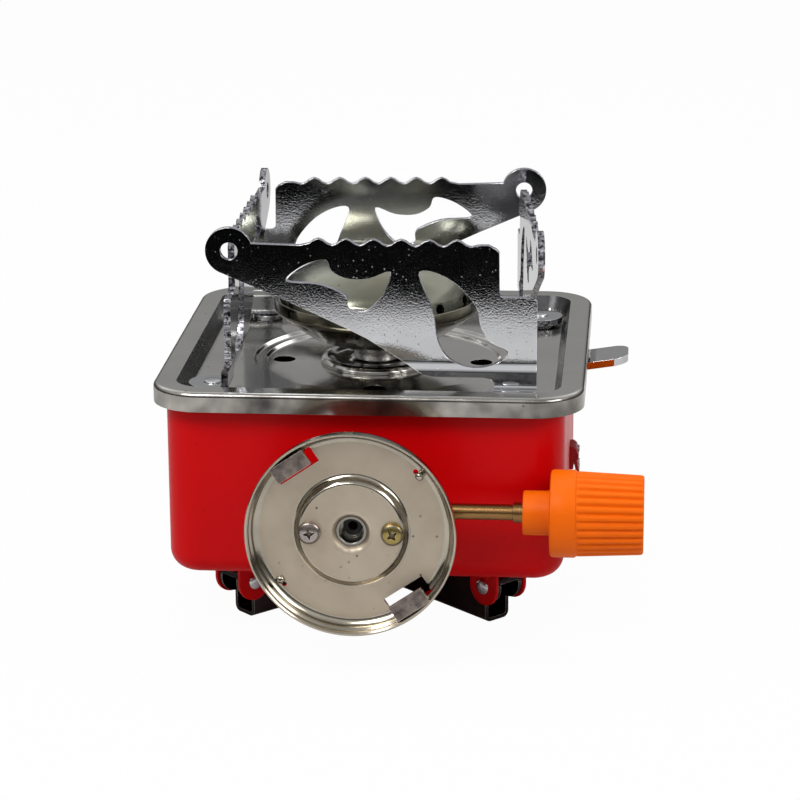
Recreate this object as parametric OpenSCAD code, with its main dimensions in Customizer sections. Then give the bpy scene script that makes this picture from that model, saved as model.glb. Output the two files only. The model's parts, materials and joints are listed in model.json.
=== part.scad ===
// Folding butane stove: a red drawn-steel body on four folding channel legs, a polished tray with four
// swivelling serrated pot supports, a dished burner, and a bayonet disc for a lying gas cartridge.
// X is to the right, Y to the back and Z up. The stove stands on its folded legs at Z = 0.

/* [Tray] */
// Outer width of the square top tray
tray_w = 108; // [104:0.5:116]
// Corner radius of the tray seen from above
tray_corner_r = 12.5; // [12:0.5:18]
// Height of the skirt that hangs outside the body
tray_skirt_h = 5; // [3.5:0.25:8]
// Width of the flat rim
rim_w = 5.8; // [5:0.2:7]
// Depth of the tray floor below the rim
tray_depth = 4.6; // [4:0.1:5.5]
// Sideways run of the sloping inner wall
tray_wall_run = 2.1; // [1:0.1:3]
// Thickness of the tray sheet
tray_t = 0.6; // [0.5:0.05:0.8]
// Radius of the outer pressed step in the floor
step_outer_r = 33.4; // [32.6:0.2:34]
// Distance from the outer to the inner pressed step
step_gap = 2.6; // [2:0.2:3.4]
// Drop of each pressed step
step_drop = 0.7; // [0.4:0.1:1]
// Radius of a vent hole in the floor
vent_r = 2.9; // [2:0.1:3.4]
// Distance of the vent holes from the middle of the tray
vent_at = 26; // [24:0.5:27]

/* [Body] */
// Height of the red body
body_h = 48.5; // [46:0.5:56]
// Side shift of the body and its legs from the middle of the tray
body_x = -0.7; // [-1:0.1:0]
// How much smaller the body's corner radius is than the tray's
corner_step = 4.5; // [4.5:0.1:5.5]
// Radius of the bottom edge
body_fillet_r = 5.5; // [4:0.5:6]
// Thickness of the body sheet
body_t = 0.7; // [0.6:0.05:1]
// Height of the pressed stiffening ring in the bottom
base_press_h = 1.2; // [0.8:0.1:2]
// Outer radius of the stiffening ring in the bottom
base_press_r = 17; // [12:0.5:20]

/* [Legs] */
// Gap between the ground and the body bottom with the legs folded
leg_clear = 16.1; // [15.5:0.1:19]
// Distance of a leg pin from the middle, along the diagonal
leg_pin_at = 46.6; // [45:0.1:48]
// Distance of a leg pin below the body bottom
pin_below = 5.8; // [5.5:0.1:6.4]
// Length of a leg from its pin to its tip
leg_len = 40.6; // [33:0.5:41]
// Outer width of the leg channel
leg_w = 8; // [6:0.2:9]
// Thickness of the leg sheet
leg_t = 1; // [0.8:0.1:1.2]
// Radius of a leg pin
leg_pin_r = 1.1; // [0.9:0.1:1.5]
// Thickness of the bracket sheet
ear_t = 1; // [0.8:0.1:1.3]
// Radius of the round end of a bracket ear
ear_r = 5; // [4:0.1:5.4]

/* [Pot supports] */
// Length of a support from its hinge end to its tip
support_len = 83; // [80:0.5:85]
// Thickness of the support plate
support_t = 1.7; // [1.4:0.1:2]
// Height of the saw-tooth tops above the rim
tooth_top = 35.2; // [33:0.2:38]
// Distance between two teeth
tooth_pitch = 6.92; // [6.4:0.02:7.2]
// Height of a tooth
tooth_h = 1.7; // [1:0.1:2.4]
// Number of full teeth
tooth_n = 6; // [5:1:6]
// Radius of the round tip
tip_r = 6; // [5:0.1:6.5]
// Radius of the eye in the tip
eye_r = 2.2; // [1.5:0.1:3]
// Distance of a support pivot from the tray side that the plate runs along
pivot_in = 14; // [13.5:0.1:15]
// Distance of a support pivot from the tray side at the plate's hinge end
pivot_end_in = 18.7; // [18:0.1:20]
// Radius of the round foot
foot_r = 6.1; // [5.4:0.1:6.2]
// Distance of the plate's face behind its pivot at the foot
plate_off = 3.1; // [3:0.1:3.6]
// Set-back of the upper plate from the foot
joggle = 1; // [0.6:0.1:1.4]
// Radius of a support rivet
rivet_r = 1.8; // [1.4:0.1:2.2]
// Outward turn of the front, right, rear and left support at rest
rest_turn = [0, 6, 3.5, 0]; // [0:0.5:8]

/* [Burner] */
// Side shift of the burner and the gas line from the middle
gas_x = -1.4; // [-2.5:0.1:0]
// Radius of the burner bowl
bowl_r = 27; // [24:0.1:27.5]
// Height of the bowl rim above the tray rim
bowl_top = 12.2; // [10:0.2:14]
// Height of the upright part of the bowl
bowl_wall_h = 3; // [2.5:0.1:4.5]
// Thickness of the bowl sheet
bowl_t = 0.7; // [0.5:0.1:1]
// Radius of the round middle of the burner cap
cap_dome_r = 17.5; // [14:0.5:18]
// Height of the middle of the cap above its edge
cap_dome_h = 10.2; // [7:0.2:11]
// Number of flame ports
port_n = 14; // [10:2:20]
// Radius of a flame port
port_r = 1.4; // [1:0.05:1.5]
// Turn of the first flame port from the right
port_turn = 7; // [0:1:18]
// Outer radius of the burner neck
neck_r = 6; // [5.6:0.1:7]
// Wall of the burner neck and the mixing tube
tube_wall = 1; // [0.8:0.1:1.3]
// Radius of the pressed flange round the neck
flange_r = 14.8; // [12:0.2:16]
// Height of the pressed flange round the neck
flange_h = 1.9; // [1.6:0.1:2.4]

/* [Gas line] */
// Distance of the gas line below the rim
gas_drop = 28.6; // [26:0.2:30]
// Outer radius of the mixing tube
tube_r = 5.5; // [5:0.1:6]
// Radius of the cartridge disc
disc_r = 25.7; // [24:0.1:27]
// Distance of the disc face in front of the tray middle
disc_at = 72.3; // [69:0.1:76]
// Depth of the lip round the disc
lip_h = 4.6; // [4:0.1:7]
// Thickness of the disc sheet
disc_t = 1.1; // [0.9:0.1:1.4]
// Radius of the raised middle of the disc at its foot
disc_mid_r = 14.2; // [14:0.1:15]
// Height of the raised middle of the disc
disc_mid_h = 2; // [1.4:0.1:2.6]
// Outer radius of the cartridge socket
socket_r = 3.75; // [3.6:0.05:4]
// Radius of the bore that takes the cartridge nozzle
socket_bore_r = 3.05; // [2.8:0.05:3.1]
// Distance of a disc screw from the gas line
screw_at = 10.1; // [9:0.1:10.6]

/* [Valve] */
// Distance of the spindle in front of the tray middle
spindle_at = 59; // [58:0.1:62]
// Distance of the spindle above the gas line
spindle_up = 1; // [0:0.1:1.4]
// Radius of the brass spindle
spindle_r = 2; // [1.6:0.1:2.4]
// Distance of the knob's hub from the tray middle
knob_at = 39.6; // [38:0.2:44]
// Length of the knob's hub
hub_len = 6.7; // [5:0.1:8]
// Radius of the knob's hub
hub_r = 5.5; // [5:0.1:6.5]
// Length of the smooth ring of the knob
ring_len = 6.4; // [5:0.1:8]
// Radius of the smooth ring of the knob
ring_r = 10.8; // [9:0.1:11]
// Length of the fluted grip
grip_len = 16.5; // [12:0.5:18]
// Radius of the grip at its outer end
grip_end_r = 9.8; // [8:0.1:10]
// Number of flutes
flute_n = 30; // [18:2:36]

/* [Igniter] */
// Distance of the finger lever behind the middle of the tray
lever_y = 8.2; // [6:0.2:11]
// Width of the finger lever
lever_w = 13; // [11:0.2:14]
// Reach of the lever from the tray middle
lever_reach = 64.4; // [62:0.2:67]
// Drop of the lever tip below the rim
lever_drop = 4.4; // [4.2:0.1:6]
// Upward slope of the lever
lever_slope = 9; // [7:0.5:10]
// Thickness of the lever sheet
lever_t = 0.8; // [0.7:0.05:1]
// Distance of the lever pin from the tray middle
lever_pin_at = 28; // [27:0.5:30]
// Distance of the igniter unit from the tray middle
piezo_at = 40.5; // [39.5:0.1:41.5]
// Width of the igniter unit
piezo_w = 9; // [8:0.2:10]
// Length of the igniter unit
piezo_len = 20; // [18:0.5:22]

/* [Fits] */
// Radial clearance of a turning pin
run_fit = 0.05; // [0.02:0.01:0.08]
// Gap between sheets that slide past each other
slide_gap = 0.3; // [0.2:0.05:0.5]
// Gap under a part that rests on a seat
seat_gap = 0.05; // [0:0.01:0.1]

/* [Hidden] */
$fn = 64;
EPS = 0.01;

// Levels, from the ground up
body_bottom = leg_clear;
body_top = body_bottom + body_h;
RIM_SEAT = 0.3;
rim_z = body_top + RIM_SEAT + tray_t;
floor_z = rim_z - tray_depth;
inner_floor_z = floor_z - 2 * step_drop;
gas_z = rim_z - gas_drop;
spindle_z = gas_z + spindle_up;

// The square tray and the body inside its rim
tray_half = tray_w / 2;
wall_top = tray_half - rim_w;
floor_half = wall_top - tray_wall_run;
BODY_FIT = 1.1;
body_half = wall_top + BODY_FIT + body_t;
wall_right = body_half + body_x;
body_corner_r = tray_corner_r - corner_step;
step_inner_r = step_outer_r - step_gap;
RIM_ROUND = 1.2;

// Pot supports, in a plan frame that turns by a quarter for each
pivot_x = tray_half - pivot_end_in;
pivot_y = -(tray_half - pivot_in);
HINGE_LAP = 6.55;
WASHER_T = 0.6;
washer_r = 4.2;
foot_z = floor_z + WASHER_T + seat_gap;
foot_top = foot_z + support_t;
BEND_R = 0.8;
foot_span = HINGE_LAP + 4;
tip_u = support_len - tip_r;
tip_z = tooth_top - 3.5;
FIRST_TOOTH = 20.04;
TOOTH_STEPS = 6;

// Burner
bowl_z = rim_z + bowl_top;
bowl_base_z = rim_z - 1.2;
CAP_T = 0.8;
CAP_FIT = 0.1;
cap_z = bowl_z - 1.1;
cap_r = bowl_r - bowl_t - CAP_FIT;

// Gas line
disc_y = -disc_at;
lip_y = disc_y - lip_h;
spindle_y = -spindle_at;
HOUSING_R = 4.4;
tube_front = spindle_y + HOUSING_R + 0.2;
valve_back = tube_front + 3.4;
knob_end = knob_at + hub_len + ring_len + grip_len;

// Igniter
lever_tan = tan(lever_slope);
function lever_top(x) = rim_z - lever_drop - (lever_reach - x) * lever_tan;
lever_pin_z = lever_top(lever_pin_at) - 3.6;
LEVER_PIN_R = 1;
piezo_top = lever_top(piezo_at) - 8;

// Middle of the whole stove in plan, at the end of the knob and the lip of the disc
mid_x = (knob_end - tray_half) / 2;
mid_y = (tray_half + lip_y) / 2;

// ---- Helpers ----

module placed() translate([-mid_x, -mid_y, 0]) children();

module square_plan(half, r) {
    square([2 * half, 2 * (half - r)], center = true);
    square([2 * (half - r), 2 * half], center = true);
    for (sx = [-1, 1], sy = [-1, 1]) translate([sx * (half - r), sy * (half - r)]) circle(r);
}

// Sweeps a profile round a square with round corners; profile x is measured outward from the side
module swept_square(half, r) {
    for (i = [0:3]) rotate(90 * i) {
        translate([half, 0, 0]) rotate([90, 0, 0])
            linear_extrude(2 * (half - r), center = true) children();
        translate([half - r, half - r, 0]) rotate_extrude(angle = 90) translate([r, 0]) children();
    }
}

module quarter_ring(r, t, quadrant) {
    intersection() {
        difference() {
            circle(r);
            circle(r - t);
        }
        rotate(90 * quadrant) square(r + 1);
    }
}

// Closed smooth curve through a few points
function pick(p, i) = p[(i + len(p)) % len(p)];
function blend(a, b, c, d, t) = 0.5 * (2 * b + (c - a) * t + (2 * a - 5 * b + 4 * c - d) * t * t
    + (3 * b - a - 3 * c + d) * t * t * t);
function smooth(p, steps) = [for (i = [0:len(p) - 1], s = [0:steps - 1])
    blend(pick(p, i - 1), p[i], pick(p, i + 1), pick(p, i + 2), s / steps)];

// Cylinder along X, Y or a plan direction
module rod_x(r, x0, x1) translate([x0, 0, 0]) rotate([0, 90, 0]) cylinder(r = r, h = x1 - x0);
module rod_y(r, y0, y1) translate([0, y0, 0]) rotate([-90, 0, 0]) cylinder(r = r, h = y1 - y0);

// ---- Body ----

lever_slot_z = lever_top(wall_right) - 7;
LEVER_SLOT_H = 8.2;

module body_profile() {
    translate([-body_t, body_bottom + body_fillet_r]) square([body_t, body_h - body_fillet_r]);
    translate([-body_fillet_r, body_bottom + body_fillet_r]) quarter_ring(body_fillet_r, body_t, 3);
}

module body_pan() color("red") placed() difference() {
    translate([body_x, 0, 0]) union() {
        swept_square(body_half, body_corner_r) body_profile();
        difference() {
            translate([0, 0, body_bottom]) linear_extrude(body_t)
                square_plan(body_half - body_fillet_r, body_corner_r - body_fillet_r);
            translate([0, 0, body_bottom - 1]) cylinder(r = base_press_r + 1, h = body_t + 2);
        }
        // Round pressing that stiffens the bottom
        translate([0, 0, body_bottom]) rotate_extrude() polygon([
            [0, base_press_h], [base_press_r - 1.5, base_press_h], [base_press_r, 0],
            [base_press_r + 2, 0], [base_press_r + 2, body_t],
            [base_press_r, body_t], [base_press_r - 1.2, base_press_h + body_t],
            [0, base_press_h + body_t]]);
    }
    translate([gas_x, 0, gas_z]) rod_y(tube_r + slide_gap, -body_half - 1, -body_half + 2);
    for (s = [-1, 1]) translate([gas_x + s * FLANGE_SCREW_AT, 0, gas_z])
        rod_y(FLANGE_SCREW_R, -body_half - 1, -body_half + 2);
    translate([wall_right - 2, lever_y - lever_w / 2 - 0.6, lever_slot_z])
        cube([4, lever_w + 1.2, LEVER_SLOT_H]);
    for (z = CLIP_PIN_Z) translate([0, CLIP_Y, z])
        rod_x(CLIP_PIN_R, wall_right - 2, wall_right + 1);
}

// ---- Tray ----

module tray_profile() {
    slope = tray_wall_run / tray_depth;
    skin = tray_t * sqrt(1 + slope * slope);
    polygon([[-RIM_ROUND, 0], [-rim_w, 0], [-rim_w - tray_wall_run, -tray_depth],
        [-rim_w - tray_wall_run, -tray_depth - tray_t],
        [-rim_w - tray_wall_run - slope * tray_t + skin, -tray_depth - tray_t],
        [-rim_w - slope * tray_t + skin, -tray_t], [-RIM_ROUND, -tray_t]]);
    translate([-RIM_ROUND, -RIM_ROUND]) quarter_ring(RIM_ROUND, tray_t, 0);
    translate([-tray_t, -tray_skirt_h]) square([tray_t, tray_skirt_h - RIM_ROUND]);
}

module tray_pressing() {
    a = step_outer_r;
    b = step_inner_r;
    d = step_drop;
    polygon([[neck_r + slide_gap, -2 * d], [b - 0.4, -2 * d], [b + 0.3, -d], [a - 0.3, -d], [a + 0.4, 0],
        [a + 0.8, 0], [a + 0.8, -tray_t], [a + 0.6, -tray_t], [a, -d - tray_t], [b + 0.6, -d - tray_t],
        [b - 0.1, -2 * d - tray_t], [neck_r + slide_gap, -2 * d - tray_t]]);
}

module top_tray() color("silver") placed() difference() {
    union() {
        translate([0, 0, rim_z]) swept_square(tray_half, tray_corner_r) tray_profile();
        translate([0, 0, floor_z - tray_t]) linear_extrude(tray_t) difference() {
            square_plan(floor_half, tray_corner_r - rim_w - tray_wall_run);
            circle(step_outer_r + 0.6);
        }
        translate([0, 0, floor_z]) rotate_extrude() difference() {
            tray_pressing();
            square([1, 20], center = true);
        }
    }
    translate([gas_x, 0, inner_floor_z - 2]) cylinder(r = neck_r + slide_gap, h = 4);
    for (i = [0:3]) rotate(90 * i) translate([vent_at, 0, inner_floor_z - 2]) cylinder(r = vent_r, h = 4);
    for (i = [0:3]) rotate(90 * i) translate([pivot_x, pivot_y, floor_z - 2]) cylinder(r = rivet_r, h = 4);
    translate([ELECTRODE_X, ELECTRODE_Y, inner_floor_z - 2]) cylinder(r = INSULATOR_R, h = 4);
}

// ---- Pot supports ----

function tooth(u, k) = tooth_top - tooth_h * (0.5 - 0.5 * cos(360 * k / TOOTH_STEPS));

module flame_cut_long() polygon(smooth([[62.8, 24.3], [58.6, 28.2], [52.9, 29.9], [51.3, 27], [47.5, 25.1],
    [42, 25.2], [36.6, 27], [38.4, 21.4], [42.6, 17], [47.2, 17.2], [47.8, 20.6], [54.5, 23.5]], 4));

module flame_cut_tall() polygon(smooth([[29.5, 26.2], [26.3, 27.2], [20.3, 24.2], [15.3, 18.4],
    [14, 13], [11.3, 9.1], [7.2, 7], [9.8, 3.9], [15.8, 2.7], [21.8, 4.6], [24.8, 9.4], [26, 17]], 4));

// Outline of the upright plate: x runs from the hinge end to the tip, y is the height above the rim
module plate_outline() {
    h = tooth_top;
    low = foot_z - rim_z;
    difference() {
        union() {
            polygon(concat(
                [[0, low], [0, h - 15.6], [0.4, h - 14.8], [1.2, h - 14.4], [8.3, h - 14.4],
                    [9.1, h - 14], [9.4, h - 13.2], [9.5, h - 3], [10.2, h - 2.2], [12.1, h - 1.2],
                    [14.4, h - 1.2]],
                [for (i = [0:tooth_n - 1], k = [-TOOTH_STEPS / 2:TOOTH_STEPS / 2 - 1])
                    [FIRST_TOOTH + (i + k / TOOTH_STEPS) * tooth_pitch, tooth(i, k)]],
                [[tip_u - 17.6, h - 1.8], [tip_u - 5, h - 1.5], [tip_u, tip_z],
                    [tip_u + 2.6, tip_z - 5.4], [64.9, 20.1], [48, 12.4], [42.8, 9.8], [37.3, 6.4],
                    [33, 3.6], [28.5, 0.95], [26.5, 0.4], [24, 0.3],
                    [foot_span + 2.6, 0.3], [foot_span + 0.9, -0.1], [foot_span, -1.2],
                    [foot_span, low]]));
            translate([tip_u, tip_z]) circle(tip_r);
        }
        flame_cut_long();
        flame_cut_tall();
    }
}

// Section across the plate: each step is a share of the set-back and a height above the rim
JOGGLE_STEPS = [[0, foot_z - rim_z], [0, 1.6], [0.08, 2], [0.3, 2.5], [0.7, 3.3], [0.92, 3.8], [1, 4.3],
    [1, tooth_top + tip_r]];
module plate_section() {
    last = len(JOGGLE_STEPS) - 1;
    polygon(concat([for (p = JOGGLE_STEPS) [p[0] * joggle, p[1]]],
        [for (i = [last:-1:0]) [JOGGLE_STEPS[i][0] * joggle + support_t, JOGGLE_STEPS[i][1]]]));
}

module support_plate() intersection() {
    translate([HINGE_LAP, plate_off + support_t + joggle + 1, rim_z]) rotate([90, 0, 180])
        mirror([0, 0, 1]) linear_extrude(support_t + joggle + 2) plate_outline();
    translate([HINGE_LAP - support_len - 1, plate_off, rim_z]) rotate([90, 0, 90])
        linear_extrude(support_len + 2) plate_section();
}

// One support about its own pivot, with the plate along -X and the foot in front of it
module support_shape() difference() {
    union() {
        difference() {
            support_plate();
            translate([-foot_span, plate_off - 1, foot_z - 1])
                cube([2 * foot_span, support_t + 2, BEND_R + support_t + 1]);
        }
        // Bend between the plate and its foot
        translate([HINGE_LAP - foot_span, plate_off - BEND_R, foot_z + BEND_R + support_t])
            rotate([90, 0, 90]) linear_extrude(foot_span) quarter_ring(BEND_R + support_t, support_t, 3);
        intersection() {
            translate([0, 0, foot_z]) cylinder(r = foot_r, h = support_t);
            translate([-foot_r - 1, -foot_r - 1, foot_z])
                cube([2 * foot_r + 2, foot_r + 1 + plate_off - BEND_R, support_t]);
        }
        translate([HINGE_LAP - foot_span, 0, foot_z]) cube([foot_span, plate_off - BEND_R, support_t]);
    }
    translate([0, 0, foot_z - 1]) cylinder(r = rivet_r + run_fit, h = support_t + 2);
    translate([HINGE_LAP - tip_u, 0, rim_z + tip_z])
        rod_y(eye_r, plate_off - 1, plate_off + support_t + joggle + 1);
}

module support(i) color("gainsboro") placed() rotate(90 * i) translate([pivot_x, pivot_y, 0])
    rotate(rest_turn[i]) support_shape();
module pot_support_front() support(0);
module pot_support_right() support(1);
module pot_support_rear() support(2);
module pot_support_left() support(3);

HEAD_T = 0.7;
module support_rivets() color("lightgray") placed() for (i = [0:3]) rotate(90 * i)
    translate([pivot_x, pivot_y, 0]) {
        translate([0, 0, floor_z - tray_t])
            cylinder(r = rivet_r, h = foot_top + seat_gap - floor_z + tray_t + 0.2);
        translate([0, 0, floor_z - tray_t - HEAD_T]) cylinder(r = rivet_r + 1.3, h = HEAD_T);
        translate([0, 0, foot_top + seat_gap]) cylinder(r1 = rivet_r + 0.45, r2 = rivet_r + 0.2, h = 0.45);
    }

module support_washers() color("gray") placed() for (i = [0:3]) rotate(90 * i)
    translate([pivot_x, pivot_y, floor_z]) difference() {
        cylinder(r = washer_r, h = WASHER_T);
        translate([0, 0, -1]) cylinder(r = rivet_r + run_fit, h = WASHER_T + 2);
    }

// ---- Burner ----

module neck_flange() color("silver") placed() translate([gas_x, 0, inner_floor_z]) rotate_extrude()
    polygon([[neck_r + run_fit, 0], [flange_r, 0], [flange_r, 0.8], [flange_r - 0.6, flange_h - 0.3],
        [flange_r - 1.6, flange_h], [flange_r - 2.6, flange_h - 0.3], [flange_r - 4, 0.9],
        [neck_r + 2, 0.75], [neck_r + 0.8, 0.95], [neck_r + run_fit, 1.5]]);

module bowl_profile(inset) {
    r = bowl_r - inset;
    polygon([[0, bowl_base_z + inset], [neck_r + 3.2, bowl_base_z + inset],
        [bowl_r - 9.4 - 0.4 * inset, rim_z + 1.9 + inset],
        [r - 1.2, bowl_z - bowl_wall_h - 1.4 + 0.5 * inset],
        [r - 0.2, bowl_z - bowl_wall_h - 0.3 + 0.3 * inset], [r, bowl_z - bowl_wall_h + 0.6],
        [r, bowl_z + inset], [0, bowl_z + inset]]);
}

module burner_bowl() color("gainsboro") placed() translate([gas_x, 0, 0]) rotate_extrude() difference() {
    bowl_profile(0);
    bowl_profile(bowl_t);
    translate([0, bowl_base_z - 1]) square([neck_r - tube_wall, 3]);
}

// Line of the domed cap from its middle to its edge, set in by a distance
SIDE_TOP = 3.3;
function cap_line(t) = [[0, cap_dome_h - t], [cap_dome_r - 6 - 0.1 * t, cap_dome_h - 0.5 - t],
    [cap_dome_r - 0.25 * t, cap_dome_h - 1.9 - t],
    [(cap_dome_r + cap_r) / 2 + 0.4 - 0.55 * t, (cap_dome_h - 1.9 + SIDE_TOP) / 2 - 0.85 * t],
    [cap_r - 1.7 - 0.9 * t, SIDE_TOP - 0.3 * t], [cap_r - 1.05 - t, 0.8 - 0.25 * t],
    [cap_r - 0.8 - 0.6 * t, 0.1 - 0.9 * t], [cap_r, -t]];
module burner_cap() color("lightgray") placed() translate([gas_x, 0, cap_z]) difference() {
    rotate_extrude() polygon(concat(cap_line(0), [for (i = [7:-1:0]) cap_line(CAP_T)[i]]));
    // Flame ports through the steep side
    for (i = [0:port_n - 1]) rotate(port_turn + 360 * i / port_n) translate([0, 0, port_r + 0.1])
        rotate([0, 90, 0]) translate([0, 0, cap_r - 5]) cylinder(r = port_r, h = 6, $fn = 24);
}

// Neck, elbow and straight tube that mixes gas and air
module mixing_tube() color("tan") placed() translate([gas_x, 0, 0]) difference() {
    top = bowl_base_z;
    union() {
        translate([0, 0, gas_z]) cylinder(r = neck_r, h = top - gas_z);
        translate([0, 0, gas_z]) sphere(neck_r);
        translate([0, 0, gas_z]) rod_y(tube_r, tube_front, 0);
    }
    translate([0, 0, gas_z]) cylinder(r = neck_r - tube_wall, h = top - gas_z + 1);
    translate([0, 0, gas_z]) sphere(neck_r - tube_wall);
    translate([0, 0, gas_z]) rod_y(tube_r - tube_wall, tube_front - 1, 0);
    // Two air windows just behind the front wall
    translate([-tube_r - 1, AIR_WINDOW_Y, gas_z]) rod_x(1.6, 0, 2 * tube_r + 2);
}

AIR_WINDOW_Y = valve_back + 6;
FLANGE_SCREW_AT = 9.6;
FLANGE_SCREW_R = 1.2;
FLANGE_T = 1.2;
module front_flange() color("silver") placed() translate([gas_x, -body_half - FLANGE_T, gas_z])
    rotate([-90, 0, 0]) difference() {
        linear_extrude(FLANGE_T) {
            circle(tube_r + 3.2);
            square([2 * FLANGE_SCREW_AT, 6.4], center = true);
            for (s = [-1, 1]) translate([s * FLANGE_SCREW_AT, 0]) circle(3.2);
        }
        translate([0, 0, -1]) cylinder(r = tube_r + seat_gap, h = FLANGE_T + 2);
        for (s = [-1, 1]) translate([s * FLANGE_SCREW_AT, 0, -1])
            cylinder(r = FLANGE_SCREW_R, h = FLANGE_T + 2);
    }

module flange_screws() color("silver") placed() for (s = [-1, 1])
    translate([gas_x + s * FLANGE_SCREW_AT, 0, gas_z]) {
        rod_y(FLANGE_SCREW_R, -body_half - FLANGE_T, -body_half + body_t + 2);
        difference() {
            rod_y(2.3, -body_half - FLANGE_T - 1.2, -body_half - FLANGE_T);
            translate([-1.6, -body_half - FLANGE_T - 2, -0.3]) cube([3.2, 1.4, 0.6]);
        }
    }

// ---- Gas valve ----

JET_R = 1.6;
valve_nose_r = tube_r - tube_wall - seat_gap;
barrel_r = tube_r + 1.1;
mid_front = disc_y - disc_mid_h;
valve_front = mid_front + disc_t;
socket_front = mid_front + 1.4;
seal_y = valve_front + 4.4;
COLLAR_DEPTH = 2.3;
SEAL_T = 1.2;
SEAL_R = 2.4;
SCREW_R = 1.35;
housing_end = 11.5;

module gas_jet() color("goldenrod") placed() translate([gas_x, 0, gas_z]) difference() {
    union() {
        rod_y(JET_R, valve_back - 2.5, valve_back + 3);
        translate([0, valve_back + 0.01, 0]) rotate([-90, 0, 0]) cylinder(r = 2.6, h = 1.8, $fn = 6);
    }
    rod_y(0.4, valve_back - 4, valve_back + 4);
}

module valve_body() color("darkgoldenrod") placed() translate([gas_x, 0, gas_z]) difference() {
    union() {
        rod_y(barrel_r, valve_front, tube_front);
        rod_y(valve_nose_r, tube_front, valve_back);
        translate([0, spindle_y, spindle_up]) rod_x(HOUSING_R, -barrel_r + 0.2, housing_end);
        // Flat ears that take the two disc screws, round where they meet the raised middle of the disc
        intersection() {
            translate([-disc_mid_r, valve_front, -3]) cube([2 * disc_mid_r, 3.6, 6]);
            rod_y(disc_mid_r - 2.15, valve_front, valve_front + 3.6);
        }
    }
    translate([0, spindle_y, spindle_up]) rod_x(spindle_r + run_fit, -3, housing_end + 1);
    rod_y(1.2, valve_front + 5, spindle_y);
    rod_y(socket_r, valve_front - 1, valve_front + 6);
    rod_y(socket_r + 2, valve_front - 1, mid_front + COLLAR_DEPTH + 0.1);
    rod_y(JET_R, valve_back - 2.5, valve_back + 1);
    for (s = [-1, 1]) translate([s * screw_at, 0, 0]) rod_y(SCREW_R, valve_front - 1, valve_front + 5);
}

GLAND_LEN = 3.6;
module gland_nut() color("goldenrod") placed()
    translate([gas_x + housing_end, spindle_y, spindle_z]) difference() {
        union() {
            rotate([0, 90, 0]) cylinder(r = HOUSING_R + 0.6, h = GLAND_LEN - 0.6, $fn = 6);
            rod_x(3.4, GLAND_LEN - 0.6, GLAND_LEN);
        }
        rod_x(spindle_r + run_fit, -1, GLAND_LEN + 1);
    }

COLLAR_LEN = 2.4;
module valve_spindle() color("goldenrod") placed() translate([0, spindle_y, spindle_z]) {
    translate([gas_x - 2.6, 0, 0]) rotate([0, 90, 0]) cylinder(r1 = 0.5, r2 = spindle_r, h = 2);
    rod_x(spindle_r, gas_x - 0.6, knob_at + hub_len + ring_len);
    rod_x(spindle_r + 0.55, knob_at - COLLAR_LEN, knob_at);
}

FLUTE_R = 0.62;
module knob() color("orange") placed() translate([0, spindle_y, spindle_z]) {
    ring_x = knob_at + hub_len;
    grip_x = ring_x + ring_len;
    grip_r = ring_r - 0.35;
    taper = atan((grip_r - grip_end_r) / grip_len);
    difference() {
        union() {
            rod_x(hub_r, knob_at, ring_x + 1);
            translate([ring_x, 0, 0]) rotate([0, 90, 0]) rotate_extrude() polygon([[0, 0],
                [ring_r - 0.6, 0], [ring_r, 0.6], [ring_r, ring_len - 0.5], [ring_r - 0.3, ring_len],
                [grip_r, ring_len], [grip_end_r, ring_len + grip_len - 0.9],
                [grip_end_r - 0.9, ring_len + grip_len], [0, ring_len + grip_len]]);
        }
        for (i = [0:flute_n - 1]) rotate([360 * i / flute_n, 0, 0])
            translate([grip_x + 0.5, 0, grip_r + 0.12]) rotate([0, 90 + taper, 0])
                cylinder(r = FLUTE_R, h = grip_len + 1, $fn = 16);
        rod_x(spindle_r, knob_at - 1, ring_x + ring_len + 0.01);
        // Sunk round in the end face
        rod_x(grip_end_r - 2.6, knob_end - 0.6, knob_end + 1);
    }
}

// ---- Cartridge disc ----

TAB_IN = 20.2;
TAB_OUT = 24.4;
TAB_SPAN = [-2.6, 6.8];
SLOT_IN = 18.9;
SLOT_OUT = 23.2;
SLOT_SPAN = [-3.6, 7.7];
module disc_tab(a) rotate(a) {
    // The tab is cut from the face, bent up along the lip and then inward over the cartridge collar
    translate([SLOT_OUT, TAB_SPAN[0], -disc_t / 2])
        cube([TAB_OUT - SLOT_OUT, TAB_SPAN[1] - TAB_SPAN[0], lip_h - 0.2]);
    translate([TAB_IN, TAB_SPAN[0], lip_h - disc_t])
        cube([TAB_OUT - TAB_IN, TAB_SPAN[1] - TAB_SPAN[0], disc_t]);
}

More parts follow.
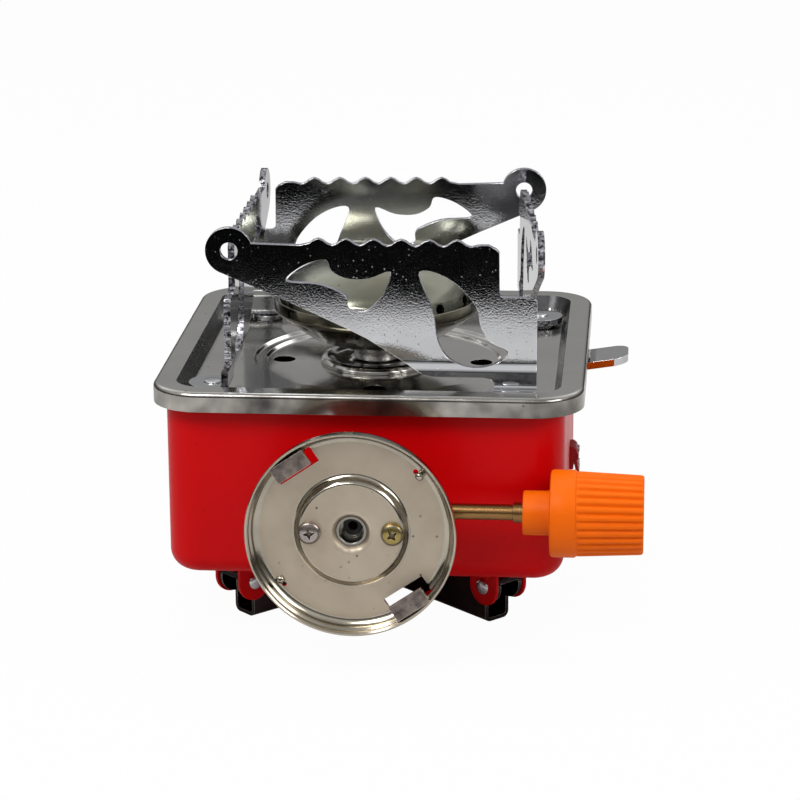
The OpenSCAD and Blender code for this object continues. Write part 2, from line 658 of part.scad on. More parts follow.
// The disc lies with its face up at z = 0 and is then turned to face forward
module disc_shape() {
    r = disc_r;
    m = disc_mid_h;
    q = disc_mid_r;
    c = socket_r;
    difference() {
        rotate_extrude() polygon([
            [c + run_fit, m - 1.6], [c + 0.4, m - 0.9], [c + 0.9, m - 0.3], [c + 1.8, m], [q - 2, m],
            [q - 1.5, m - 0.2], [q - 0.3, 0.3], [q + 0.3, 0], [r - 3.1, 0], [r - 2.2, 0.3],
            [r - 1.6, 1], [r - 1.4, 2.6], [r - 0.9, 3.1], [r - 0.8, lip_h - 0.3], [r - 0.5, lip_h],
            [r - 0.2, lip_h], [r, lip_h - 0.3], [r, 2.6], [r - 0.4, 2.2], [r - 0.5, 0.5], [r - 1.2, -0.5],
            [r - 2.6, -disc_t], [q - 0.7, -disc_t], [q - 2.1, m - disc_t], [c + 1.9, m - disc_t],
            [c + 1.3, m - 1.6], [c + 1.2, m - COLLAR_DEPTH], [c + run_fit, m - COLLAR_DEPTH]]);
        for (s = [-1, 1]) translate([s * screw_at, 0, -4]) cylinder(r = SCREW_R, h = 8);
        // Slots that the tabs were bent out of
        for (a = TAB_ANGLES) rotate(a) translate([SLOT_IN, SLOT_SPAN[0], -3])
            cube([SLOT_OUT - SLOT_IN, SLOT_SPAN[1] - SLOT_SPAN[0], 4.2]);
        for (a = PIMPLE_ANGLES) rotate(a) translate([PIMPLE_AT, 1.3, -3]) cylinder(r = 0.6, h = 6, $fn = 24);
    }
    for (a = TAB_ANGLES) disc_tab(a);
    for (a = PIMPLE_ANGLES) rotate(a) translate([PIMPLE_AT, -0.2, -0.3]) rotate_extrude($fn = 24)
        polygon([[0, 0], [1.1, 0], [1.1, 0.6], [0.9, 1], [0.5, 1.3], [0, 1.4]]);
}

TAB_ANGLES = [124.3, -55.7];
PIMPLE_ANGLES = [41, 217];
PIMPLE_AT = 21.8;
module connector_disc() color("darkkhaki") placed() translate([gas_x, disc_y, gas_z])
    rotate([90, 0, 0]) disc_shape();

module nozzle_socket() color("silver") placed() translate([gas_x, 0, gas_z]) difference() {
    rod_y(socket_r, socket_front, valve_front + 6);
    rod_y(socket_bore_r, socket_front - 1, seal_y);
    rod_y(SEAL_R, socket_front, seal_y + SEAL_T);
    rod_y(1.2, socket_front, valve_front + 7);
}

module socket_seal() color("black") placed() translate([gas_x, 0, gas_z]) difference() {
    rod_y(SEAL_R, seal_y, seal_y + SEAL_T);
    rod_y(1.2, valve_front, valve_front + 7);
}

module disc_screw(s, shade) color(shade) placed() translate([gas_x + s * screw_at, 0, gas_z]) {
    face = mid_front;
    rod_y(SCREW_R, face, valve_front + 4.4);
    difference() {
        translate([0, face, 0]) rotate([90, 0, 0]) cylinder(r1 = 2.85, r2 = 2, h = 1.7);
        for (a = [0, 90]) rotate([0, a + 20, 0]) translate([-1.7, face - 2.2, -0.4]) cube([3.4, 1.4, 0.8]);
    }
}
module disc_screw_left() disc_screw(-1, "silver");
module disc_screw_right() disc_screw(1, "goldenrod");

// ---- Legs ----

leg_drop = leg_clear - pin_below;
pin_z = leg_drop;
wall_in = leg_w / 2;
ear_in = wall_in + slide_gap;
leg_lobe_r = pin_below - ear_t - slide_gap;
WEB_START = 0.4;

module leg_side() {
    polygon([[WEB_START, -leg_drop], [leg_len, -leg_drop], [leg_len, 2.6 - leg_drop],
        [leg_len - 1.2, 4.4 - leg_drop], [14, -0.6], [5, leg_lobe_r - 0.6], [0, leg_lobe_r], [0, 0],
        [WEB_START, -3]]);
    circle(leg_lobe_r);
}

module channel_section(half, floor_at, r) {
    translate([-half, floor_at + r]) square([2 * half, 20]);
    translate([-half + r, floor_at]) square([2 * (half - r), 20]);
    for (s = [-1, 1]) translate([s * (half - r), floor_at + r]) circle(r);
}

// Curved strip that joins the two walls round the pin end
module leg_strip() rotate([90, 0, 0]) linear_extrude(leg_w + 4, center = true) difference() {
    polygon([for (a = [95, 130, 165]) 9 * [cos(a), sin(a)], [0, 0]]);
    circle(leg_lobe_r - leg_t);
}

// One leg about its pin: x runs toward the middle of the stove, y along the pin
module leg_shape() difference() {
    intersection() {
        rotate([90, 0, 90]) translate([0, 0, -8]) linear_extrude(leg_len + 10)
            channel_section(wall_in, -leg_drop, 1.8);
        rotate([90, 0, 0]) linear_extrude(leg_w + 2, center = true) leg_side();
    }
    difference() {
        rotate([90, 0, 90]) translate([0, 0, -9]) linear_extrude(leg_len + 12)
            channel_section(wall_in - leg_t, leg_t - leg_drop, 0.8);
        leg_strip();
    }
    rod_y(leg_pin_r + run_fit, -leg_w, leg_w);
    // Round lightening hole in the sole
    translate([leg_len * 0.62, 0, -leg_drop - 1]) cylinder(r = leg_w * 0.2, h = leg_t + 2);
}

// Corner i is counted from the front right; x then points to the middle of the stove
module at_leg(i) translate([body_x, 0, 0]) rotate(-45 + 90 * i) translate([leg_pin_at, 0, pin_z])
    rotate(180) children();

module leg(i) color("dimgray") placed() at_leg(i) leg_shape();
module leg_front_right() leg(0);
module leg_rear_right() leg(1);
module leg_rear_left() leg(2);
module leg_front_left() leg(3);

module bracket_shape() difference() {
    union() {
        translate([-ear_r - 2, -ear_in - ear_t, body_bottom - ear_t - pin_z])
            cube([2 * ear_r + 4, 2 * (ear_in + ear_t), ear_t]);
        for (s = [-1, 1]) translate([0, s * (ear_in + ear_t / 2), 0]) rotate([90, 0, 0])
            linear_extrude(ear_t, center = true) {
                circle(ear_r);
                translate([-ear_r, 0]) square([2 * ear_r, body_bottom - pin_z]);
            }
    }
    rod_y(leg_pin_r, -20, 20);
}

module leg_bracket(i) color("red") placed() at_leg(i) bracket_shape();
module leg_bracket_front_right() leg_bracket(0);
module leg_bracket_rear_right() leg_bracket(1);
module leg_bracket_rear_left() leg_bracket(2);
module leg_bracket_front_left() leg_bracket(3);

PIN_HEAD_R = 2.15;
PIN_HEAD_T = 1;
module leg_pins() color("silver") placed() for (i = [0:3]) at_leg(i) {
    out = ear_in + ear_t;
    rod_y(leg_pin_r, -out, out);
    for (s = [-1, 1]) rotate([0, 0, s > 0 ? 0 : 180]) translate([0, out, 0]) rotate([-90, 0, 0])
        cylinder(r1 = PIN_HEAD_R, r2 = PIN_HEAD_R - 0.6, h = PIN_HEAD_T);
}

// ---- Igniter ----

lever_side = lever_w / 2;

// Pressed channel with a round finger end, carried by two ears on the pin
module igniter_lever() color("silver") placed() translate([0, lever_y, 0]) {
    x0 = lever_pin_at - 2.4;
    x1 = lever_reach;
    skin = lever_t / cos(lever_slope);
    lip = 2;
    difference() {
        intersection() {
            rotate([90, 0, 0]) linear_extrude(lever_w, center = true) polygon([
                [x0, lever_pin_z - 2.4], [lever_pin_at + 2.4, lever_pin_z - 2.4],
                [lever_pin_at + 5.4, lever_top(lever_pin_at + 5.4) - lip],
                [x1, lever_top(x1) - lip], [x1, lever_top(x1)], [x0, lever_top(x0)]]);
            linear_extrude(200) union() {
                translate([x0, -lever_side]) square([x1 - x0 - 4, lever_w]);
                translate([x0, -lever_side + 4]) square([x1 - x0, lever_w - 8]);
                for (s = [-1, 1]) translate([x1 - 4, s * (lever_side - 4)]) circle(4);
            }
        }
        // Hollow under the web
        intersection() {
            rotate([90, 0, 0]) linear_extrude(lever_w - 2 * lever_t, center = true) polygon([
                [x0 - 1, lever_pin_z - 9], [x1 - lever_t, lever_pin_z - 9],
                [x1 - lever_t, lever_top(x1 - lever_t) - skin], [x0 - 1, lever_top(x0 - 1) - skin]]);
            linear_extrude(200) union() {
                translate([x0 - 2, -lever_side]) square([x1 - x0 - 2, lever_w]);
                translate([x0, -lever_side + 4]) square([x1 - x0 - lever_t, lever_w - 8]);
                for (s = [-1, 1]) translate([x1 - 4, s * (lever_side - 4)]) circle(4 - lever_t);
            }
        }
        translate([lever_pin_at, 0, lever_pin_z]) rod_y(LEVER_PIN_R + run_fit, -20, 20);
    }
}

BRACKET_T = 1;
SHELF_H = 6;
bracket_half = lever_side - lever_t - slide_gap;
module lever_pin() color("silver") placed() translate([lever_pin_at, lever_y, lever_pin_z]) {
    rod_y(LEVER_PIN_R, -lever_side - 0.4, lever_side + 0.4);
    rod_y(LEVER_PIN_R + 0.6, lever_side + 0.4, lever_side + 1.2);
    rod_y(LEVER_PIN_R + 0.6, -lever_side - 1.2, -lever_side - 0.4);
}

clip_back = wall_right - body_t;
// Bent plate from the side wall round the igniter unit and up to the lever pin
module lever_bracket() color("silver") placed() translate([0, lever_y, 0]) {
    shelf_z = piezo_top - SHELF_H;
    half = piezo_w / 2 + seat_gap;
    difference() {
        union() {
            for (s = [-1, 1]) translate([0, s * (bracket_half - BRACKET_T / 2), 0]) rotate([90, 0, 0])
                linear_extrude(BRACKET_T, center = true) {
                    translate([lever_pin_at, lever_pin_z]) circle(2.4);
                    polygon([[lever_pin_at - 2.4, lever_pin_z], [lever_pin_at + 2.4, lever_pin_z],
                        [piezo_at - half - 0.6, shelf_z + 2], [piezo_at - half - 0.6, shelf_z - 6],
                        [lever_pin_at - 2.4, shelf_z - 4]]);
                }
            translate([lever_pin_at - 2.4, -bracket_half, shelf_z - 6])
                cube([BRACKET_T, 2 * bracket_half, 6]);
            translate([piezo_at - half - BRACKET_T, -bracket_half, shelf_z - 6])
                cube([BRACKET_T, 2 * bracket_half, 6]);
            for (s = [-1, 1]) translate([piezo_at - half - BRACKET_T, 0, shelf_z - 6])
                translate([0, s * (half + BRACKET_T / 2) - BRACKET_T / 2, 0])
                    cube([clip_back - piezo_at + half + BRACKET_T, BRACKET_T, 6]);
            for (s = [-1, 1]) translate([clip_back - BRACKET_T, s * (half + 2.6) - 2.6, shelf_z - 6])
                cube([BRACKET_T, 5.2, 6]);
        }
        translate([lever_pin_at, 0, lever_pin_z]) rod_y(LEVER_PIN_R, -20, 20);
    }
}

PLUNGER_R = 2.4;
module igniter_unit() color("ivory") placed() translate([piezo_at, lever_y, 0]) difference() {
    union() {
        translate([-piezo_w / 2, -piezo_w / 2, piezo_top - piezo_len])
            cube([piezo_w, piezo_w, piezo_len - 3]);
        translate([0, 0, piezo_top - 3]) cylinder(r = 3.6, h = 3);
        translate([0, 0, piezo_top - piezo_len - 3]) cylinder(r = 2, h = 3);
    }
    translate([0, 0, piezo_top - 9]) cylinder(r = PLUNGER_R + run_fit, h = 10);
}

module igniter_plunger() color("black") placed() translate([piezo_at, lever_y, 0]) intersection() {
    top = lever_top(piezo_at) - lever_t / cos(lever_slope) - slide_gap;
    union() {
        translate([0, 0, piezo_top - 6]) cylinder(r = PLUNGER_R, h = top - 1.4 - piezo_top + 6);
        translate([0, 0, top - 4]) sphere(4);
    }
    translate([0, 0, piezo_top - 6]) cylinder(r = PLUNGER_R, h = 30);
}

CLIP_Y = 8.2;
CLIP_PIN_R = 0.9;
CLIP_Z = rim_z - 33;
CLIP_PIN_Z = [CLIP_Z + 1.4, CLIP_Z - 2.3];
// Small bent plate riveted to the side wall over the igniter
module side_clip() color("firebrick") placed() translate([wall_right, CLIP_Y, CLIP_Z]) difference() {
    rotate([90, 0, 0]) linear_extrude(7, center = true) polygon([[0, 2.7], [0.9, 2.7], [1.7, 2.1],
        [2.4, 0.3], [2.4, -0.2], [1.9, -1.1], [2.6, -4.2], [1.7, -4.2], [1, -1.1], [1, -3.5], [0, -3.5]]);
    for (z = CLIP_PIN_Z) translate([0, 0, z - CLIP_Z]) rod_x(CLIP_PIN_R, -1, 9);
}

module clip_pins() color("silver") placed() for (z = CLIP_PIN_Z) translate([0, CLIP_Y, z]) {
    rod_x(CLIP_PIN_R, wall_right - body_t - 0.8, wall_right + 2.6);
}

// ---- Spark electrode and its lead ----

ELECTRODE_X = gas_x + 8;
ELECTRODE_Y = 28.4;
INSULATOR_R = 1.9;
WIRE_R = 0.6;
INSULATOR_UP = 7;
INSULATOR_DOWN = 9;
module electrode_insulator() color("white") placed() translate([ELECTRODE_X, ELECTRODE_Y, 0]) difference() {
    union() {
        translate([0, 0, inner_floor_z - INSULATOR_DOWN])
            cylinder(r = INSULATOR_R, h = INSULATOR_DOWN + INSULATOR_UP);
        translate([0, 0, inner_floor_z - tray_t - 1.4]) cylinder(r = INSULATOR_R + 0.9, h = 1.4);
    }
    translate([0, 0, inner_floor_z - INSULATOR_DOWN - 1])
        cylinder(r = WIRE_R, h = INSULATOR_DOWN + INSULATOR_UP + 2);
}

module electrode() color("dimgray") placed() translate([ELECTRODE_X, ELECTRODE_Y, 0]) {
    top = bowl_z + 1.4;
    aim = atan2(-ELECTRODE_Y, gas_x - ELECTRODE_X);
    translate([0, 0, inner_floor_z - 12]) cylinder(r = WIRE_R, h = top - inner_floor_z + 12);
    translate([0, 0, top]) sphere(WIRE_R);
    translate([0, 0, top]) rotate([0, 90, aim]) cylinder(r = WIRE_R, h = 3.4);
}

LEAD_R = 0.9;
LEAD_SIDES = 8;
lead_start = [piezo_at, lever_y, piezo_top - piezo_len - 3 - seat_gap];
lead_end = [ELECTRODE_X, ELECTRODE_Y, inner_floor_z - 12 - seat_gap];
lead_low = body_bottom + 6;
lead_route = [lead_start, [lead_start[0] - 0.6, lead_start[1] + 1, lead_start[2] - 2.4],
    [34, 16, lead_low], [24, 25, lead_low], [12, 29, lead_low + 6], [7, 29, lead_low + 14],
    [lead_end[0], lead_end[1], lead_end[2] - 5], lead_end];
LEAD_STEPS = 4;
function open_pick(p, i) = p[max(0, min(len(p) - 1, i))];
lead_path = concat([for (i = [0:len(lead_route) - 2], s = [0:LEAD_STEPS - 1])
    blend(open_pick(lead_route, i - 1), lead_route[i], open_pick(lead_route, i + 1),
        open_pick(lead_route, i + 2), s / LEAD_STEPS)], [lead_end]);
function unit(v) = v / norm(v);
function heading(p, i) = i == 0 || i == len(p) - 1 ? [0, 0, i == 0 ? -1 : 1] : unit(p[i + 1] - p[i - 1]);
function across(d) = unit(cross(d, [0.35, 0.8, 0.1]));
module ignition_lead() color("white") placed() polyhedron(
    points = [for (i = [0:len(lead_path) - 1], k = [0:LEAD_SIDES - 1]) let(d = heading(lead_path, i),
        e = across(d), g = cross(d, e), a = 360 * k / LEAD_SIDES)
        lead_path[i] + LEAD_R * (cos(a) * e + sin(a) * g)],
    faces = concat([[for (k = [0:LEAD_SIDES - 1]) LEAD_SIDES - 1 - k]],
        [for (i = [0:len(lead_path) - 2], k = [0:LEAD_SIDES - 1]) let(a = i * LEAD_SIDES + k,
            b = i * LEAD_SIDES + (k + 1) % LEAD_SIDES) [a, b, b + LEAD_SIDES, a + LEAD_SIDES]],
        [[for (k = [0:LEAD_SIDES - 1]) (len(lead_path) - 1) * LEAD_SIDES + k]]));

body_pan();
top_tray();
neck_flange();
mixing_tube();
front_flange();
flange_screws();
burner_bowl();
burner_cap();
gas_jet();
valve_body();
gland_nut();
valve_spindle();
knob();
connector_disc();
nozzle_socket();
socket_seal();
disc_screw_left();
disc_screw_right();
pot_support_front();
pot_support_right();
pot_support_rear();
pot_support_left();
support_rivets();
support_washers();
leg_front_right();
leg_rear_right();
leg_rear_left();
leg_front_left();
leg_bracket_front_right();
leg_bracket_rear_right();
leg_bracket_rear_left();
leg_bracket_front_left();
leg_pins();
igniter_unit();
igniter_plunger();
igniter_lever();
lever_bracket();
lever_pin();
side_clip();
clip_pins();
electrode();
electrode_insulator();
ignition_lead();
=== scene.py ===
"""Folding butane stove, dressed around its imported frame.

The frame gives every place. Each sub-assembly is a class: it turns the frame's solids into smooth,
softly broken-edged metal, builds what repeats or follows a rule with Geometry Nodes, and gives each
piece its finish.
"""

import json
import logging
import math
from contextlib import contextmanager
from dataclasses import dataclass, field, replace
from enum import Enum
from typing import Any, Callable, Iterable, Iterator, Sequence

import bmesh
import bpy
from mathutils import Matrix, Vector

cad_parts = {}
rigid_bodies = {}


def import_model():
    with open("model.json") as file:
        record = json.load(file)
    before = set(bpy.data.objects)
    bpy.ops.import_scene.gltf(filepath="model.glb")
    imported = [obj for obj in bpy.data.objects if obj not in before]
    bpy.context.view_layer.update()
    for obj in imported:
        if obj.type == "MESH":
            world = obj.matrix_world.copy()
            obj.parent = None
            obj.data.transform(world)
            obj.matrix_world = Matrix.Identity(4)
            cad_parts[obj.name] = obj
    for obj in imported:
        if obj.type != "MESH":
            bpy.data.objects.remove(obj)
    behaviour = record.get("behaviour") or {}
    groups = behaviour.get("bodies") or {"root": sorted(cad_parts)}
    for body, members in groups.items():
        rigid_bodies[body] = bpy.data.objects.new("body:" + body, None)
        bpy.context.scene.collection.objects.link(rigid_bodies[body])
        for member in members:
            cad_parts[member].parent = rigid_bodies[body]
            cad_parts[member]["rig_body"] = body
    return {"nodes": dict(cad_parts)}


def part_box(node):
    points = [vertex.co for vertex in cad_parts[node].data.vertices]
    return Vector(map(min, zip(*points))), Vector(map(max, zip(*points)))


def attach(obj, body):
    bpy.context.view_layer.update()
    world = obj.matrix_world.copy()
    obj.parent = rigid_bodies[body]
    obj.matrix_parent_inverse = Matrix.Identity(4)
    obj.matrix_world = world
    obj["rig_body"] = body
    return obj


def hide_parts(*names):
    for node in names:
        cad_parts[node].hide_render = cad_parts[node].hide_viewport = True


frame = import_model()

LOG = logging.getLogger("stove")
MM = 0.001
MICRON = 0.000001
Triple = tuple[float, float, float]
Colour = Triple
Profile = Sequence[tuple[float, float]]


# ---------------------------------------------------------------------------------------------
# Places taken from the frame
# ---------------------------------------------------------------------------------------------


def spot(node: str, x: float = 0.5, y: float = 0.5, z: float = 0.5) -> Vector:
    """Finds a point in a frame node's box.

    Args:
        node: the node's name.
        x: the share of the box's width, from its left.
        y: the share of its depth, from its front.
        z: the share of its height, from its foot.

    Returns:
        The point, in metres.
    """
    low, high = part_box(node)
    return Vector([a + (b - a) * share for a, b, share in zip(low, high, (x, y, z))])


def extent(node: str) -> Vector:
    """Returns the width, depth and height of a frame node's box, in metres."""
    low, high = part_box(node)
    return high - low


@dataclass(frozen=True)
class Datum:
    """Points that several sub-assemblies measure from, in metres."""

    tray: Vector
    gas: Vector

    @classmethod
    def from_frame(cls) -> "Datum":
        """Takes the middle of the tray at its rim and the middle of the disc at its lip."""
        return cls(spot("top_tray", z=1.0), spot("connector_disc", y=0.0))


# ---------------------------------------------------------------------------------------------
# Shader groups that several finishes share
# ---------------------------------------------------------------------------------------------


class GroupBuilder:
    """Builds one node group, for shading or for geometry, with named sockets."""

    socket_kinds = {int: "NodeSocketInt", float: "NodeSocketFloat", tuple: "NodeSocketVector"}

    def __init__(self, name: str, kind: str, inputs: dict[str, Any], outputs: dict[str, str]) -> None:
        """Makes the empty group.

        Args:
            name: the group's name.
            kind: ShaderNodeTree or GeometryNodeTree.
            inputs: each input's name and its default; a string is taken as a socket type.
            outputs: each output's name and its socket type.
        """
        self.tree = bpy.data.node_groups.new(name, kind)
        for label, value in inputs.items():
            self._add_input(label, value)
        for label, socket_type in outputs.items():
            self.tree.interface.new_socket(label, in_out="OUTPUT", socket_type=socket_type)
        self.entry = self.tree.nodes.new("NodeGroupInput").outputs
        self.exit = self.tree.nodes.new("NodeGroupOutput").inputs

    def _add_input(self, label: str, value: Any) -> None:
        """Adds one input socket whose type follows its default value.

        Args:
            label: the input's name.
            value: its default, or its socket type as a string.
        """
        if isinstance(value, str):
            self.tree.interface.new_socket(label, in_out="INPUT", socket_type=value)
            return
        kind = self.socket_kinds[type(value)]
        socket = self.tree.interface.new_socket(label, in_out="INPUT", socket_type=kind)
        socket.default_value = value

    def node(self, kind: str, inputs: dict[Any, Any] | None = None, **settings: Any) -> bpy.types.Node:
        """Adds a node.

        Args:
            kind: the node's type name.
            inputs: for an input's name or number, a plain value or a socket to link from.
            settings: attributes of the node.

        Returns:
            The new node.
        """
        return add_node(self.tree, kind, inputs, **settings)

    def link(self, source: bpy.types.NodeSocket, target: bpy.types.NodeSocket) -> None:
        """Links an output to an input."""
        self.tree.links.new(source, target)

    def maths(self, operation: str, *values: Any) -> bpy.types.NodeSocket:
        """Adds a Math node and returns its result."""
        return self.node("ShaderNodeMath", dict(enumerate(values)), operation=operation).outputs[0]


def add_node(tree: bpy.types.NodeTree, kind: str, inputs: dict[Any, Any] | None = None,
             **settings: Any) -> bpy.types.Node:
    """Adds a node to a tree, sets it and links what feeds it.

    Args:
        tree: the node tree.
        kind: the node's type name.
        inputs: for an input's name or number, a plain value or a socket to link from.
        settings: attributes of the node.

    Returns:
        The new node.
    """
    node = tree.nodes.new(kind)
    for key, value in settings.items():
        setattr(node, key, value)
    for key, value in (inputs or {}).items():
        if isinstance(value, bpy.types.NodeSocket):
            tree.links.new(value, node.inputs[key])
        else:
            node.inputs[key].default_value = value
    return node


MOTTLE_ROUGHNESS = 0.55
GRAIN_ROUGHNESS = 0.6
GRAIN_DETAIL = 2.0
WAVE_DETAIL = 1.0
SPECK_DULLS = 0.25


def mottle_group() -> bpy.types.NodeTree:
    """Builds soft uneven patches from 0 to 1, for colour and roughness.

    Returns:
        The group, with the inputs Vector, Scale, Detail and Contrast.
    """
    group = GroupBuilder("soft_mottle", "ShaderNodeTree",
                         {"Vector": (0.0, 0.0, 0.0), "Scale": 60.0, "Detail": 3.0, "Contrast": 1.0},
                         {"Value": "NodeSocketFloat"})
    noise = group.node("ShaderNodeTexNoise", {
        "Vector": group.entry["Vector"], "Scale": group.entry["Scale"], "Detail": group.entry["Detail"],
        "Roughness": MOTTLE_ROUGHNESS})
    centred = group.maths("SUBTRACT", noise.outputs[0], 0.5)
    spread = group.maths("MULTIPLY_ADD", centred, group.entry["Contrast"], 0.5)
    clamped = group.node("ShaderNodeClamp", {"Value": spread})
    group.link(clamped.outputs[0], group.exit["Value"])
    return group.tree


def speck_group() -> bpy.types.NodeTree:
    """Builds scattered round specks, such as pits, dust or plating spots.

    Returns:
        The group, with the inputs Vector, Scale, Size and Amount.
    """
    group = GroupBuilder("scattered_specks", "ShaderNodeTree",
                         {"Vector": (0.0, 0.0, 0.0), "Scale": 900.0, "Size": 0.3, "Amount": 0.2},
                         {"Mask": "NodeSocketFloat"})
    cells = group.node("ShaderNodeTexVoronoi", {
        "Vector": group.entry["Vector"], "Scale": group.entry["Scale"]})
    lot = group.node("ShaderNodeSeparateColor", {0: cells.outputs["Color"]})
    picked = group.maths("LESS_THAN", lot.outputs[0], group.entry["Amount"])
    near = group.node("ShaderNodeMapRange", {
        "Value": cells.outputs["Distance"], "From Min": 0.0, "From Max": group.entry["Size"],
        "To Min": 1.0, "To Max": 0.0}, interpolation_type="SMOOTHSTEP")
    mask = group.maths("MULTIPLY", picked, near.outputs[0])
    group.link(mask, group.exit["Mask"])
    return group.tree


def grain_group() -> bpy.types.NodeTree:
    """Builds fine drawn lines along one direction, as rolling or brushing leaves on sheet.

    Returns:
        The group, with the inputs Vector, Scale and Stretch.
    """
    group = GroupBuilder("drawn_grain", "ShaderNodeTree",
                         {"Vector": (0.0, 0.0, 0.0), "Scale": 900.0, "Stretch": (1.0, 1.0, 1.0)},
                         {"Value": "NodeSocketFloat"})
    stretched = group.node("ShaderNodeVectorMath", {
        0: group.entry["Vector"], 1: group.entry["Stretch"]}, operation="MULTIPLY")
    lines = group.node("ShaderNodeTexNoise", {
        "Vector": stretched.outputs[0], "Scale": group.entry["Scale"], "Detail": GRAIN_DETAIL,
        "Roughness": GRAIN_ROUGHNESS})
    group.link(lines.outputs[0], group.exit["Value"])
    return group.tree


def edge_group() -> bpy.types.NodeTree:
    """Builds a mask that is 1 on sharp edges and 0 on open faces.

    Returns:
        The group, with the inputs Radius and Gain.
    """
    group = GroupBuilder("broken_edge", "ShaderNodeTree", {"Radius": 0.3 * MM, "Gain": 8.0},
                         {"Mask": "NodeSocketFloat"})
    rounded = group.node("ShaderNodeBevel", {"Radius": group.entry["Radius"]}, samples=4)
    plain = group.node("ShaderNodeNewGeometry")
    match = group.node("ShaderNodeVectorMath", {
        0: rounded.outputs[0], 1: plain.outputs["Normal"]}, operation="DOT_PRODUCT")
    lost = group.maths("SUBTRACT", 1.0, match.outputs["Value"])
    gained = group.maths("MULTIPLY", lost, group.entry["Gain"])
    clamped = group.node("ShaderNodeClamp", {"Value": gained})
    group.link(clamped.outputs[0], group.exit["Mask"])
    return group.tree


class Effects:
    """The shared shader groups, each built once."""

    def __init__(self) -> None:
        """Builds every group."""
        self.mottle = mottle_group()
        self.speck = speck_group()
        self.grain = grain_group()
        self.edge = edge_group()


# ---------------------------------------------------------------------------------------------
# Finishes
# ---------------------------------------------------------------------------------------------


